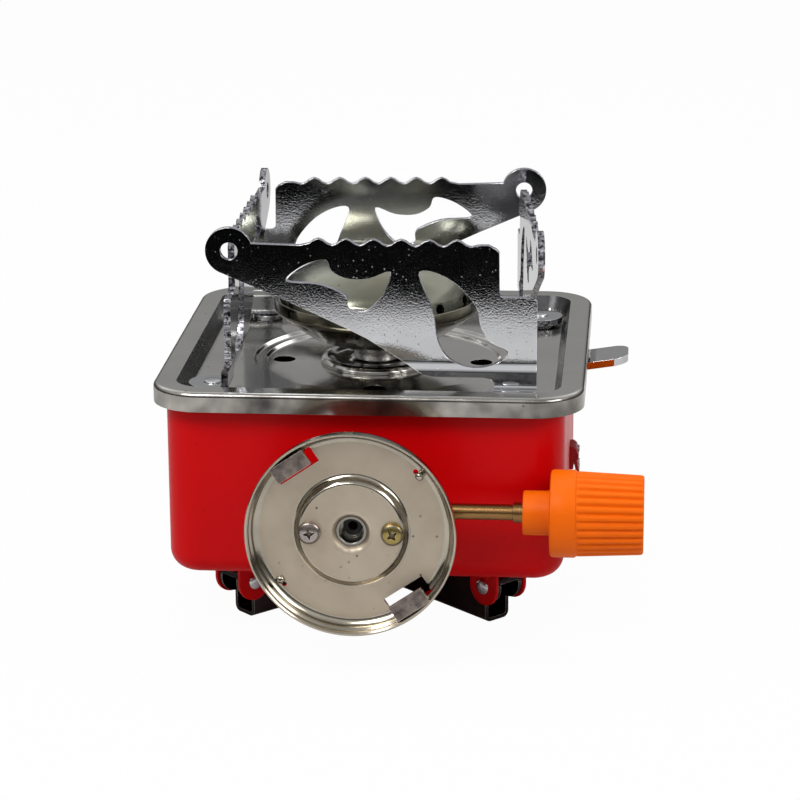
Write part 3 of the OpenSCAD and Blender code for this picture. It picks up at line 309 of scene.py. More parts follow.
@dataclass(frozen=True)
class Finish:
    """One surface finish and how uneven it is.

    Roughness runs between its two values with the mottle; the depths are bump distances in metres.
    """

    name: str
    slot: str
    base: Colour
    tone: Colour
    roughness: tuple[float, float]
    metallic: float = 1.0
    mottle_scale: float = 45.0
    mottle_contrast: float = 1.6
    grain_scale: float = 1400.0
    grain_stretch: Triple = (1.0, 1.0, 1.0)
    grain_depth: float = 4.0 * MICRON
    wave_scale: float = 0.0
    wave_depth: float = 0.0
    speck: Colour = (0.05, 0.045, 0.04)
    speck_scale: float = 700.0
    speck_size: float = 0.3
    speck_amount: float = 0.06
    speck_depth: float = 0.0
    edge: Colour | None = None
    edge_radius: float = 0.3 * MM
    specular: float = 0.5

    def material(self, effects: Effects) -> bpy.types.Material:
        """Builds the material.

        Args:
            effects: the shared shader groups.

        Returns:
            The new material.
        """
        material = bpy.data.materials.new(self.name)
        material.use_nodes = True
        tree = material.node_tree
        shader = tree.nodes["Principled BSDF"]
        place = add_node(tree, "ShaderNodeTexCoord").outputs["Object"]
        mottle = self._effect(tree, effects.mottle, {
            "Vector": place, "Scale": self.mottle_scale, "Contrast": self.mottle_contrast})
        grain = self._effect(tree, effects.grain, {
            "Vector": place, "Scale": self.grain_scale, "Stretch": self.grain_stretch})
        specks = self._effect(tree, effects.speck, {
            "Vector": place, "Scale": self.speck_scale, "Size": self.speck_size, "Amount": self.speck_amount})
        colour = self._mix(tree, mottle, self.base, self.tone)
        colour = self._mix(tree, specks, colour, self.speck)
        if self.edge is not None:
            rim = self._effect(tree, effects.edge, {"Radius": self.edge_radius})
            colour = self._mix(tree, rim, colour, self.edge)
        tree.links.new(colour, shader.inputs["Base Color"])
        self._roughness(tree, shader, mottle, specks)
        self._bump(tree, shader, place, grain, specks, effects)
        shader.inputs["Metallic"].default_value = self.metallic
        shader.inputs["Specular IOR Level"].default_value = self.specular
        return material

    @staticmethod
    def _effect(tree: bpy.types.NodeTree, group: bpy.types.NodeTree, inputs: dict[str, Any]
                ) -> bpy.types.NodeSocket:
        """Places a shared group in the material and returns its result."""
        return add_node(tree, "ShaderNodeGroup", inputs, node_tree=group).outputs[0]

    @staticmethod
    def _mix(tree: bpy.types.NodeTree, mask: bpy.types.NodeSocket, low: Any, high: Any
             ) -> bpy.types.NodeSocket:
        """Mixes two colours by a mask.

        Args:
            tree: the material's tree.
            mask: 0 for the low colour and 1 for the high one.
            low: a triple or a socket.
            high: a triple or a socket.

        Returns:
            The mixed colour.
        """
        node = add_node(tree, "ShaderNodeMix", {0: mask}, data_type="RGBA")
        for socket, value in ((node.inputs[6], low), (node.inputs[7], high)):
            if isinstance(value, bpy.types.NodeSocket):
                tree.links.new(value, socket)
            else:
                socket.default_value = (*value, 1.0)
        return node.outputs[2]

    def _roughness(self, tree: bpy.types.NodeTree, shader: bpy.types.Node, mottle: bpy.types.NodeSocket,
                   specks: bpy.types.NodeSocket) -> None:
        """Lets roughness follow the mottle, duller on the specks.

        Args:
            tree: the material's tree.
            shader: its shader.
            mottle: the value of the mottle.
            specks: the mask of the specks.
        """
        low, high = self.roughness
        spread = add_node(tree, "ShaderNodeMapRange", {"Value": mottle, "To Min": low, "To Max": high})
        dulled = add_node(tree, "ShaderNodeMath", {0: specks, 1: SPECK_DULLS, 2: spread.outputs[0]},
                          operation="MULTIPLY_ADD")
        tree.links.new(dulled.outputs[0], shader.inputs["Roughness"])

    def _bump(self, tree: bpy.types.NodeTree, shader: bpy.types.Node, place: bpy.types.NodeSocket,
              grain: bpy.types.NodeSocket, specks: bpy.types.NodeSocket, effects: Effects) -> None:
        """Stacks fine grain, pits and slow waves of the sheet into the normal.

        Args:
            tree: the material's tree.
            shader: its shader.
            place: the place on the piece.
            grain: the height of the drawn lines.
            specks: the mask of the specks.
            effects: the shared shader groups.
        """
        normal = None
        layers = [(grain, self.grain_depth), (specks, -self.speck_depth)]
        if self.wave_depth:
            wave = self._effect(tree, effects.mottle, {
                "Vector": place, "Scale": self.wave_scale, "Detail": WAVE_DETAIL})
            layers.append((wave, self.wave_depth))
        for height, depth in layers:
            if not depth:
                continue
            inputs = {"Height": height, "Distance": abs(depth), "Strength": 1.0}
            if normal is not None:
                inputs["Normal"] = normal
            normal = add_node(tree, "ShaderNodeBump", inputs, invert=depth < 0).outputs[0]
        if normal is not None:
            tree.links.new(normal, shader.inputs["Normal"])


# Each finish gives the two colours that its mottle mixes, then its lowest and highest roughness.
RED_ENAMEL = Finish(
    "red_enamel", "red_enamel", (0.54, 0.0006, 0.0022), (0.49, 0.0004, 0.0016), (0.26, 0.36),
    metallic=0.0, mottle_scale=30.0, grain_scale=420.0, grain_depth=1.5 * MICRON,
    speck=(0.3, 0.001, 0.002), speck_amount=0.02, specular=0.09)
DARK_RED = replace(
    RED_ENAMEL, name="dark_red_enamel", slot="dark_red_enamel", base=(0.25, 0.01, 0.012),
    tone=(0.16, 0.006, 0.008))
TRAY_STEEL = Finish(
    "tray_steel", "stainless_tray", (0.62, 0.61, 0.58), (0.5, 0.49, 0.46), (0.08, 0.16),
    mottle_scale=60.0, grain_scale=900.0, grain_stretch=(1.0, 0.08, 1.0), grain_depth=3.0 * MICRON,
    wave_scale=45.0, wave_depth=80.0 * MICRON, speck_amount=0.03, speck_scale=520.0,
    edge=(0.85, 0.84, 0.82))
# The outside of the rim: the tray's own steel painted much darker, with near-black patches, as painted dark
# reflections.
SKIRT_PAINTED_REFLECTION = Finish(
    "tray_skirt_painted_reflection", "stainless_tray", (0.5, 0.47, 0.43), (0.09, 0.085, 0.08), (0.12, 0.24),
    mottle_scale=75.0, mottle_contrast=2.6, grain_scale=900.0, grain_stretch=(0.15, 1.0, 1.0),
    grain_depth=6.0 * MICRON, speck_amount=0.06, speck_scale=600.0)
# The inner slope below the rim: the tray's own steel painted dark, as painted shade on that wall.
SLOPE_PAINTED_SHADE = Finish(
    "tray_slope_painted_shade", "stainless_tray", (0.26, 0.255, 0.25), (0.08, 0.08, 0.085), (0.2, 0.3),
    mottle_scale=50.0, mottle_contrast=2.4, grain_scale=900.0, grain_depth=3.0 * MICRON)
PLATE_CHROME = Finish(
    "plate_chrome", "polished_plate", (0.6, 0.605, 0.615), (0.5, 0.505, 0.52), (0.03, 0.07),
    mottle_scale=90.0, grain_scale=2000.0, grain_depth=8.5 * MICRON, wave_scale=60.0,
    wave_depth=25.0 * MICRON, speck=(0.5, 0.5, 0.53), speck_scale=1300.0, speck_amount=0.16,
    speck_size=0.3, speck_depth=8.0 * MICRON, edge=(0.9, 0.89, 0.93))
SHEARED_ACROSS = Finish(
    "sheared_edge_across", "polished_plate", (0.78, 0.76, 0.86), (0.4, 0.39, 0.44), (0.2, 0.34),
    mottle_scale=420.0, mottle_contrast=2.0, grain_scale=1500.0, grain_stretch=(1.0, 0.04, 1.0),
    grain_depth=60.0 * MICRON, speck_amount=0.05)
# Cut edges of the left and right supports: the striations are real bumps, but the fine mottle from light
# steel to near black paints their dark and bright reflections into the colour.
SHEARED_ALONG_PAINTED_GLINTS = replace(
    SHEARED_ACROSS, name="sheared_edge_along_painted_glints", base=(0.62, 0.61, 0.66), tone=(0.015, 0.015, 0.02),
    mottle_scale=1100.0, mottle_contrast=4.0, grain_stretch=(0.04, 1.0, 1.0),
    grain_depth=100.0 * MICRON)
BURNER_STEEL = Finish(
    "burner_steel", "burner_steel", (0.2, 0.185, 0.14), (0.05, 0.045, 0.03), (0.12, 0.24),
    mottle_scale=80.0, mottle_contrast=2.2, grain_scale=700.0, grain_depth=5.0 * MICRON,
    speck_amount=0.06, edge=(0.62, 0.6, 0.54))
CAP_STEEL = Finish(
    "cap_steel", "burner_steel", (0.4, 0.41, 0.35), (0.2, 0.19, 0.13), (0.16, 0.28), mottle_scale=45.0,
    mottle_contrast=2.4, grain_scale=700.0, grain_depth=4.0 * MICRON, wave_scale=60.0,
    wave_depth=60.0 * MICRON, speck_amount=0.05, edge=(0.62, 0.6, 0.54))
TUBE_STEEL = Finish("tube_steel", "tube_steel", (0.5, 0.49, 0.47), (0.38, 0.37, 0.35), (0.22, 0.36))
SOCKET_STEEL = Finish(
    "socket_steel", "socket_steel", (0.3, 0.285, 0.25), (0.2, 0.19, 0.165), (0.12, 0.22),
    edge=(0.55, 0.53, 0.48), edge_radius=0.12 * MM)
SCREW_STEEL = Finish(
    "screw_steel", "screw_steel", (0.46, 0.4, 0.38), (0.28, 0.24, 0.23), (0.2, 0.32),
    mottle_scale=300.0, edge=(0.8, 0.75, 0.73))
# The walls of the screws' cross recess: the screw steel painted darker, as painted shade in the recess.
RECESS_PAINTED_SHADE = Finish("screw_recess_painted_shade", "screw_steel", (0.24, 0.2, 0.16), (0.1, 0.085, 0.065), (0.3, 0.4))
SCREW_BRASS = Finish(
    "screw_brass", "screw_brass", (0.4, 0.31, 0.11), (0.26, 0.19, 0.06), (0.22, 0.34),
    mottle_scale=300.0, edge=(0.62, 0.52, 0.25))
RIVET_STEEL = Finish(
    "rivet_steel", "rivet_steel", (0.7, 0.7, 0.72), (0.46, 0.46, 0.48), (0.18, 0.3), mottle_scale=260.0,
    mottle_contrast=2.2, edge=(0.88, 0.88, 0.88))
LEG_STEEL = Finish(
    "leg_steel", "leg_steel", (0.075, 0.06, 0.058), (0.025, 0.02, 0.019), (0.14, 0.28),
    mottle_scale=50.0, grain_stretch=(1.0, 1.0, 0.1), edge=(0.34, 0.32, 0.3))
WIRE_STEEL = Finish("wire_steel", "wire_steel", (0.42, 0.4, 0.38), (0.3, 0.28, 0.26), (0.3, 0.42))
DISC_NICKEL = Finish(
    "disc_nickel", "nickel_disc", (0.56, 0.485, 0.385), (0.47, 0.4, 0.315), (0.44, 0.56),
    mottle_scale=75.0, mottle_contrast=2.6, grain_scale=1800.0, grain_depth=4.0 * MICRON,
    speck=(0.05, 0.04, 0.03), speck_scale=520.0, speck_size=0.26, speck_amount=0.11,
    edge=(0.62, 0.57, 0.47))
DISC_BRIGHT = Finish(
    "disc_bright", "nickel_disc", (0.46, 0.42, 0.35), (0.3, 0.27, 0.22), (0.1, 0.18), mottle_scale=90.0,
    mottle_contrast=2.2, grain_scale=1800.0, grain_depth=4.0 * MICRON, speck=(0.08, 0.065, 0.045),
    speck_scale=620.0, speck_size=0.2, speck_amount=0.09)
DISC_TAB = Finish(
    "disc_tab", "nickel_disc", (0.27, 0.225, 0.2), (0.09, 0.075, 0.07), (0.26, 0.4), mottle_scale=420.0,
    mottle_contrast=2.6, grain_scale=2200.0, grain_stretch=(1.0, 1.0, 0.25), grain_depth=80.0 * MICRON,
    edge=(0.5, 0.46, 0.4))
BRASS = Finish(
    "turned_brass", "brass", (0.33, 0.19, 0.07), (0.22, 0.115, 0.045), (0.2, 0.32), mottle_scale=120.0,
    grain_scale=1600.0, grain_stretch=(6.0, 1.0, 1.0), grain_depth=10.0 * MICRON, edge=(0.6, 0.44, 0.2))
ORANGE_PLASTIC = Finish(
    "orange_plastic", "orange_plastic", (0.74, 0.12, 0.0009), (0.67, 0.102, 0.0008), (0.4, 0.5),
    metallic=0.0, mottle_scale=120.0, grain_scale=2600.0, grain_depth=6.0 * MICRON,
    speck=(0.68, 0.09, 0.001), speck_amount=0.04, specular=0.1)
WHITE_PLASTIC = Finish(
    "white_plastic", "white_plastic", (0.72, 0.7, 0.64), (0.62, 0.6, 0.55), (0.4, 0.5), metallic=0.0)
BLACK_PLASTIC = Finish(
    "black_plastic", "black_plastic", (0.02, 0.02, 0.02), (0.03, 0.03, 0.03), (0.4, 0.5), metallic=0.0)
BLACK_RUBBER = Finish(
    "black_rubber", "black_rubber", (0.018, 0.018, 0.018), (0.03, 0.03, 0.03), (0.6, 0.75),
    metallic=0.0)
LEAD_SLEEVE = Finish(
    "lead_sleeve", "lead_sleeve", (0.7, 0.68, 0.62), (0.6, 0.58, 0.52), (0.5, 0.6), metallic=0.0)
CERAMIC = Finish(
    "glazed_ceramic", "ceramic", (0.8, 0.78, 0.72), (0.7, 0.68, 0.62), (0.12, 0.2), metallic=0.0)


class Palette:
    """The stove's materials, each built when a piece first asks for its finish."""

    def __init__(self) -> None:
        """Builds the shared shader groups."""
        self._effects = Effects()
        self._made: dict[str, bpy.types.Material] = {}

    def __getitem__(self, finish: Finish) -> bpy.types.Material:
        """Finds the material of a finish, and builds it the first time.

        Args:
            finish: the finish.

        Returns:
            Its material.
        """
        if finish.name not in self._made:
            self._made[finish.name] = finish.material(self._effects)
        return self._made[finish.name]


# ---------------------------------------------------------------------------------------------
# Meshes from the frame's solids
# ---------------------------------------------------------------------------------------------

WELD = 0.002 * MM
FLAT_ANGLE = math.radians(0.4)
SHARP_ANGLE = math.radians(32)
EDGE_STEPS = 2


@contextmanager
def reworked(mesh: bpy.types.Mesh) -> Iterator[bmesh.types.BMesh]:
    """Opens a mesh for changes, then marks its creases and writes it back.

    Args:
        mesh: the mesh.

    Yields:
        Its editable shape.
    """
    shape = bmesh.new()
    shape.from_mesh(mesh)
    yield shape
    for face in shape.faces:
        face.smooth = True
    for edge in shape.edges:
        edge.smooth = edge.is_manifold and edge.calc_face_angle(0.0) < SHARP_ANGLE
    shape.to_mesh(mesh)
    shape.free()


def welded_copy(node: str) -> bpy.types.Mesh:
    """Copies a frame node's mesh, welds its triangles and merges the flat ones.

    Args:
        node: the node's name.

    Returns:
        The new mesh, with its sharp edges marked.
    """
    mesh = frame["nodes"][node].data.copy()
    mesh.materials.clear()
    with reworked(mesh) as shape:
        bmesh.ops.remove_doubles(shape, verts=shape.verts, dist=WELD)
        bmesh.ops.dissolve_limit(shape, angle_limit=FLAT_ANGLE, verts=shape.verts, edges=shape.edges)
    return mesh


def plain_mesh(piece: bpy.types.Object) -> None:
    """Replaces a piece's modifiers by the mesh that they give.

    Args:
        piece: the piece.
    """
    graph = bpy.context.evaluated_depsgraph_get()
    result = bpy.data.meshes.new_from_object(piece.evaluated_get(graph), depsgraph=graph)
    piece.modifiers.clear()
    piece.data = result


def place_mesh(piece: bpy.types.Object, placement: Matrix) -> None:
    """Moves a piece's closed mesh, keeps its object at the origin and turns its faces outwards.

    Args:
        piece: the piece.
        placement: where its mesh goes.
    """
    piece.data.transform(placement)
    with reworked(piece.data) as shape:
        bmesh.ops.remove_doubles(shape, verts=shape.verts, dist=WELD)
        bmesh.ops.recalc_face_normals(shape, faces=shape.faces)


def new_piece(name: str, mesh: bpy.types.Mesh) -> bpy.types.Object:
    """Puts a mesh in the scene as a piece at the origin.

    Args:
        name: the piece's name.
        mesh: its mesh.

    Returns:
        The piece.
    """
    piece = bpy.data.objects.new(name, mesh)
    bpy.context.scene.collection.objects.link(piece)
    return piece


class SubAssembly:
    """A group of pieces that is built and dressed together."""

    title = "sub-assembly"

    def __init__(self, palette: Palette, datum: Datum) -> None:
        """Keeps the materials and the places to build with.

        Args:
            palette: the stove's materials.
            datum: the points that sub-assemblies measure from.
        """
        self.palette = palette
        self.datum = datum
        self.pieces: list[str] = []

    def sheet(self, node: str, finish: Finish, edge: float) -> bpy.types.Object:
        """Dresses a frame node as smooth metal with softly broken edges.

        Args:
            node: the node's name.
            finish: its finish.
            edge: width of the broken edges, in millimetres.

        Returns:
            The piece that stands for the node.
        """
        piece = new_piece(f"{node}_dressed", welded_copy(node))
        bevel = piece.modifiers.new("broken_edges", "BEVEL")
        bevel.width = edge * MM
        bevel.segments = EDGE_STEPS
        bevel.limit_method = "ANGLE"
        bevel.angle_limit = SHARP_ANGLE
        even = piece.modifiers.new("flat_faces_stay_flat", "WEIGHTED_NORMAL")
        even.keep_sharp = True
        plain_mesh(piece)
        return self.adopt(piece, node, finish)

    def adopt(self, piece: bpy.types.Object, node: str, finish: Finish) -> bpy.types.Object:
        """Lets a piece stand for a frame node, on the node's body and in a finish.

        Args:
            piece: the piece.
            node: the node's name.
            finish: the piece's finish.

        Returns:
            The piece.
        """
        piece.data.materials.clear()
        piece.data.materials.append(self.palette[finish])
        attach(piece, frame["nodes"][node]["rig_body"])
        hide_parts(node)
        self.pieces.append(piece.name)
        return piece

    def dress_faces(self, piece: bpy.types.Object, finish: Finish,
                    chosen: Callable[[bpy.types.MeshPolygon], bool]) -> None:
        """Gives a second finish to the faces of a piece that a test picks.

        Args:
            piece: the piece.
            finish: the finish for the picked faces.
            chosen: the test that picks a face.
        """
        piece.data.materials.append(self.palette[finish])
        extra = len(piece.data.materials) - 1
        for face in piece.data.polygons:
            if chosen(face):
                face.material_index = extra

    def keep(self, node: str, finish: Finish) -> None:
        """Keeps a frame node as it is and gives it a finish.

        Args:
            node: the node's name.
            finish: its finish.
        """
        materials = frame["nodes"][node].data.materials
        materials.clear()
        materials.append(self.palette[finish])
        self.pieces.append(node)

    def turned(self, node: str, tree: "GeometryTree", points: Profile, values: dict[str, Any],
               placement: Matrix, finish: Finish) -> bpy.types.Object:
        """Turns a piece from its profile, sets it in place and lets it stand for a frame node.

        Args:
            node: the frame node's name.
            tree: the tree that turns the profile.
            points: radius and height of each point of the profile, in millimetres.
            values: the tree's other inputs.
            placement: where the piece goes.
            finish: its finish.

        Returns:
            The piece.
        """
        profile = [(radius * MM, height * MM) for radius, height in points]
        piece = tree.run(f"{node}_turned", profile_mesh(f"{node}_profile", profile),
                         {"Rings": len(points), **values})
        place_mesh(piece, placement)
        return self.adopt(piece, node, finish)

    def build(self) -> None:
        """Builds every piece; each sub-assembly has its own."""
        raise NotImplementedError


# ---------------------------------------------------------------------------------------------
# Geometry Nodes for what repeats or follows a rule
# ---------------------------------------------------------------------------------------------


class GeometryTree(GroupBuilder):
    """A geometry node tree that ends in real, dressed faces."""

    def __init__(self, name: str, inputs: dict[str, Any]) -> None:
        """Makes the tree with a Geometry socket at each end."""
        super().__init__(name, "GeometryNodeTree", {"Geometry": "NodeSocketGeometry", **inputs},
                         {"Geometry": "NodeSocketGeometry"})

    def close(self, geometry: bpy.types.NodeSocket, material: bpy.types.Material) -> None:
        """Ends the tree in Realize Instances and Set Material.

        Args:
            geometry: what the tree has made.
            material: the material for all of it.
        """
        real = self.node("GeometryNodeRealizeInstances", {0: geometry})
        dressed = self.node("GeometryNodeSetMaterial", {"Geometry": real.outputs[0], "Material": material})
        self.link(dressed.outputs[0], self.exit[0])

    def run(self, name: str, base: bpy.types.Mesh, values: dict[str, Any]) -> bpy.types.Object:
        """Runs the tree on a mesh.

        Args:
            name: the new piece's name.
            base: the mesh that feeds the tree.
            values: the named inputs to set.

        Returns:
            A piece with the plain mesh that the tree gives.
        """
        piece = new_piece(name, base)
        modifier = piece.modifiers.new("nodes", "NODES")
        modifier.node_group = self.tree
        sockets = {item.name: item.identifier for item in self.tree.interface.items_tree
                   if item.item_type == "SOCKET" and item.in_out == "INPUT"}
        for label, value in values.items():
            modifier[sockets[label]] = value
        plain_mesh(piece)
        return piece


EASED_STEPS = 5


def eased(points: Profile) -> list[tuple[float, float]]:
    """Draws a smooth line through points, level where it starts at the axis.

    Args:
        points: radius and height of each point, the first on the axis.

    Returns:
        The points of the smooth line.
    """
    (start_r, start_z), (next_r, next_z) = points[0], points[1]
    held = [(2 * start_r - next_r, next_z), *points, points[-1]]
    line = []
    for span in zip(held, held[1:], held[2:], held[3:]):
        for step in range(EASED_STEPS):
            t = step / EASED_STEPS
            line.append(tuple(
                0.5 * (2 * b + (c - a) * t + (2 * a - 5 * b + 4 * c - d) * t ** 2
                       + (3 * b - a - 3 * c + d) * t ** 3)
                for a, b, c, d in zip(*span)))
    return [*line, points[-1]]


def profile_mesh(name: str, points: Profile, fluted: Sequence[float] | None = None) -> bpy.types.Mesh:
    """Makes the vertices of a turned profile.

    Args:
        name: the mesh's name.
        points: radius and height of each point, in metres.
        fluted: how far the flutes cut at each point, from 0 to 1.

    Returns:
        A mesh of loose vertices in order, with the attribute flute.
    """
    mesh = bpy.data.meshes.new(name)
    mesh.from_pydata([(radius, 0.0, height) for radius, height in points], [], [])
    attribute = mesh.attributes.new("flute", "FLOAT", "POINT")
    attribute.data.foreach_set("value", list(fluted or [0.0] * len(points)))
    return mesh


TURNED_INPUTS = {"Rings": 8, "Steps": 96, "Flutes": 0.0, "Depth": 0.0, "Crest": 1.0}


def turned_surface(tree: GeometryTree) -> bpy.types.NodeSocket:
    """Turns the tree's profile about Z and cuts its flutes.

    Args:
        tree: a tree with the inputs of TURNED_INPUTS.

    Returns:
        The closed turned surface.
    """
    grid = tree.node("GeometryNodeMeshGrid", {
        "Size X": 1.0, "Size Y": 1.0, "Vertices X": tree.entry["Rings"],
        "Vertices Y": tree.maths("ADD", tree.entry["Steps"], 1.0)})
    across = tree.node("ShaderNodeSeparateXYZ", {0: tree.node("GeometryNodeInputPosition").outputs[0]})
    ring = tree.maths("ROUND", tree.maths("MULTIPLY", tree.maths("ADD", across.outputs["X"], 0.5),
                                          tree.maths("SUBTRACT", tree.entry["Rings"], 1.0)))
    turn = tree.maths("MULTIPLY", tree.maths("ADD", across.outputs["Y"], 0.5), math.tau)
    source = tree.entry["Geometry"]
    position = tree.node("GeometryNodeInputPosition")
    point = tree.node("GeometryNodeSampleIndex", {
        "Geometry": source, "Value": position.outputs[0], "Index": ring}, data_type="FLOAT_VECTOR")
    flute = tree.node("GeometryNodeInputNamedAttribute", {"Name": "flute"}, data_type="FLOAT")
    cut = tree.node("GeometryNodeSampleIndex", {
        "Geometry": source, "Value": flute.outputs[0], "Index": ring}, data_type="FLOAT")
    place = tree.node("ShaderNodeSeparateXYZ", {0: point.outputs[0]})
    wave = tree.maths("COSINE", tree.maths("MULTIPLY", turn, tree.entry["Flutes"]))
    hollow = tree.maths("POWER", tree.maths("MULTIPLY_ADD", wave, 0.5, 0.5), tree.entry["Crest"])
    sunk = tree.maths("MULTIPLY", tree.maths("MULTIPLY", hollow, cut.outputs[0]), tree.entry["Depth"])
    radius = tree.maths("SUBTRACT", place.outputs["X"], sunk)
    moved = tree.node("ShaderNodeCombineXYZ", {
        0: tree.maths("MULTIPLY", radius, tree.maths("COSINE", turn)),
        1: tree.maths("MULTIPLY", radius, tree.maths("SINE", turn)), 2: place.outputs["Z"]})
    shaped = tree.node("GeometryNodeSetPosition", {
        "Geometry": grid.outputs[0], "Position": moved.outputs[0]})
    closed = tree.node("GeometryNodeMergeByDistance", {"Geometry": shaped.outputs[0], "Distance": WELD})
    return closed.outputs[0]


def ring_of(tree: GeometryTree, instance: bpy.types.NodeSocket, tilt: Any) -> bpy.types.NodeSocket:
    """Sets copies of a shape on a circle, each turned with its place.

    Args:
        tree: a tree with the inputs Count, Radius and Start.
        instance: the shape to copy.
        tilt: how far each copy leans about its own X, in radians.

    Returns:
        The copies.
    """
    circle = tree.node("GeometryNodeMeshCircle", {
        "Vertices": tree.entry["Count"], "Radius": tree.entry["Radius"]})
    spin = tree.node("ShaderNodeCombineXYZ", {2: tree.entry["Start"]})
    started = tree.node("GeometryNodeTransform", {
        "Geometry": circle.outputs[0], "Rotation": spin.outputs[0]})
    place = tree.node("ShaderNodeSeparateXYZ", {0: tree.node("GeometryNodeInputPosition").outputs[0]})
    bearing = tree.maths("ARCTAN2", place.outputs["Y"], place.outputs["X"])
    angles = tree.node("ShaderNodeCombineXYZ", {0: tilt, 2: bearing})
    copies = tree.node("GeometryNodeInstanceOnPoints", {
        "Points": started.outputs[0], "Instance": instance, "Rotation": angles.outputs[0]})
    return copies.outputs[0]


def turned_tree(material: bpy.types.Material) -> GeometryTree:
    """Builds the tree for one turned piece with flutes.

    Args:
        material: the piece's material.

    Returns:
        The tree, with the inputs Rings, Steps, Flutes, Depth and Crest.
    """
    tree = GeometryTree("turned_and_fluted", TURNED_INPUTS)
    tree.close(turned_surface(tree), material)
    return tree


def turned_ring_tree(material: bpy.types.Material) -> GeometryTree:
    """Builds the tree for equal turned pieces on a circle, such as rivets and washers.

    Args:
        material: the pieces' material.

    Returns:
        The tree, with the turned inputs and Count, Radius, Start and Tilt.
    """
    tree = GeometryTree("turned_on_a_circle", {
        **TURNED_INPUTS, "Count": 4, "Radius": 10 * MM, "Start": 0.0, "Tilt": 0.0})
    tree.close(ring_of(tree, turned_surface(tree), tree.entry["Tilt"]), material)
    return tree


PORT_SIDES = 32


def ported_tree(material: bpy.types.Material) -> GeometryTree:
    """Builds the tree for a turned sheet with a circle of round ports.

    Args:
        material: the piece's material.

    Returns:
        The tree, with the turned inputs and Count, Radius, Start, Port, Reach and Lift.
    """
    tree = GeometryTree("turned_with_ports", {
        **TURNED_INPUTS, "Count": 14, "Radius": 20 * MM, "Start": 0.0, "Port": 1.0 * MM,
        "Reach": 10 * MM, "Lift": 2 * MM})
    port = tree.node("GeometryNodeMeshCylinder", {
        "Vertices": PORT_SIDES, "Radius": tree.entry["Port"], "Depth": tree.entry["Reach"]})
    lift = tree.node("ShaderNodeCombineXYZ", {2: tree.entry["Lift"]})
    turn = tree.node("ShaderNodeCombineXYZ", {1: math.pi / 2})
    level = tree.node("GeometryNodeTransform", {
        "Geometry": port.outputs[0], "Translation": lift.outputs[0], "Rotation": turn.outputs[0]})
    drills = tree.node("GeometryNodeRealizeInstances", {0: ring_of(tree, level.outputs[0], 0.0)})
    tree.close(cut_away(tree, turned_surface(tree), drills.outputs[0]), material)
    return tree


FILLET_STEPS = 2


def recessed_tree(material: bpy.types.Material) -> GeometryTree:
    """Builds the tree for a screw with a star recess in its head.

    Args:
        material: the piece's material.

    Returns:
        The tree, with the turned inputs and Arms, Outer, Inner, Round, Top, Sink, Taper and Twist.
    """
    tree = GeometryTree("recessed_screw", {
        **TURNED_INPUTS, "Arms": 4, "Outer": 1.7 * MM, "Inner": 0.6 * MM, "Round": 0.1 * MM,
        "Top": 5 * MM, "Sink": 1.0 * MM, "Taper": 0.5, "Twist": 0.3})
    star = tree.node("GeometryNodeCurveStar", {
        "Points": tree.entry["Arms"], "Inner Radius": tree.entry["Inner"],
        "Outer Radius": tree.entry["Outer"]})
    outline = tree.node("GeometryNodeFilletCurve", {
        "Curve": star.outputs[0], "Radius": tree.entry["Round"], "Count": FILLET_STEPS}, mode="POLY")
    face = tree.node("GeometryNodeFillCurve", {0: outline.outputs[0]}, mode="NGONS")
    # The punch starts one depth above the head and ends one depth inside it.
    down = tree.node("ShaderNodeCombineXYZ", {2: tree.maths("MULTIPLY", tree.entry["Sink"], -2.0)})
    sunk = tree.node("GeometryNodeExtrudeMesh", {
        "Mesh": face.outputs[0], "Offset": down.outputs[0], "Individual": False}, mode="FACES")
    narrow = tree.node("GeometryNodeScaleElements", {
        "Geometry": sunk.outputs[0], "Selection": sunk.outputs["Top"], "Scale": tree.entry["Taper"]},
        domain="FACE")
    lid = tree.node("GeometryNodeFlipFaces", {0: face.outputs[0]})
    both = tree.node("GeometryNodeJoinGeometry", {0: narrow.outputs[0]})
    tree.link(lid.outputs[0], both.inputs[0])
    joined = tree.node("GeometryNodeMergeByDistance", {"Geometry": both.outputs[0], "Distance": WELD})
    closed = tree.node("GeometryNodeFlipFaces", {0: joined.outputs[0]})
    lift = tree.node("ShaderNodeCombineXYZ", {2: tree.maths("ADD", tree.entry["Top"], tree.entry["Sink"])})
    turn = tree.node("ShaderNodeCombineXYZ", {2: tree.entry["Twist"]})
    punch = tree.node("GeometryNodeTransform", {
        "Geometry": closed.outputs[0], "Translation": lift.outputs[0], "Rotation": turn.outputs[0]})
    tree.close(cut_away(tree, turned_surface(tree), punch.outputs[0]), material)
    return tree


def cut_away(tree: GeometryTree, solid: bpy.types.NodeSocket, tool: bpy.types.NodeSocket
             ) -> bpy.types.NodeSocket:
    """Takes one closed mesh out of another.

    Args:
        tree: the tree that holds both.
        solid: the mesh to cut.
        tool: the mesh to take out of it.

    Returns:
        What is left of the solid.
    """
    cut = tree.node("GeometryNodeMeshBoolean", {0: solid}, operation="DIFFERENCE", solver="EXACT")
    tree.link(tool, cut.inputs[1])
    return cut.outputs[0]


# ---------------------------------------------------------------------------------------------
# Sub-assemblies
# ---------------------------------------------------------------------------------------------


class Corner(Enum):
    """The corners of the stove, as the frame names them."""

    FRONT_RIGHT = "front_right"
    REAR_RIGHT = "rear_right"
    REAR_LEFT = "rear_left"
    FRONT_LEFT = "front_left"


class Side(Enum):
    """The sides of the tray, as the frame names the supports."""

    FRONT = "front"
    RIGHT = "right"
    REAR = "rear"
    LEFT = "left"


class Body(SubAssembly):
    """The red drawn body with its leg brackets and the clip on its side."""

    title = "body"

    def build(self) -> None:
        """Builds the body's pieces."""
        self.sheet("body_pan", RED_ENAMEL, 0.15)
        for corner in Corner:
            self.sheet(f"leg_bracket_{corner.value}", RED_ENAMEL, 0.2)
        self.sheet("side_clip", DARK_RED, 0.15)
        self.sheet("clip_pins", RIVET_STEEL, 0.15)


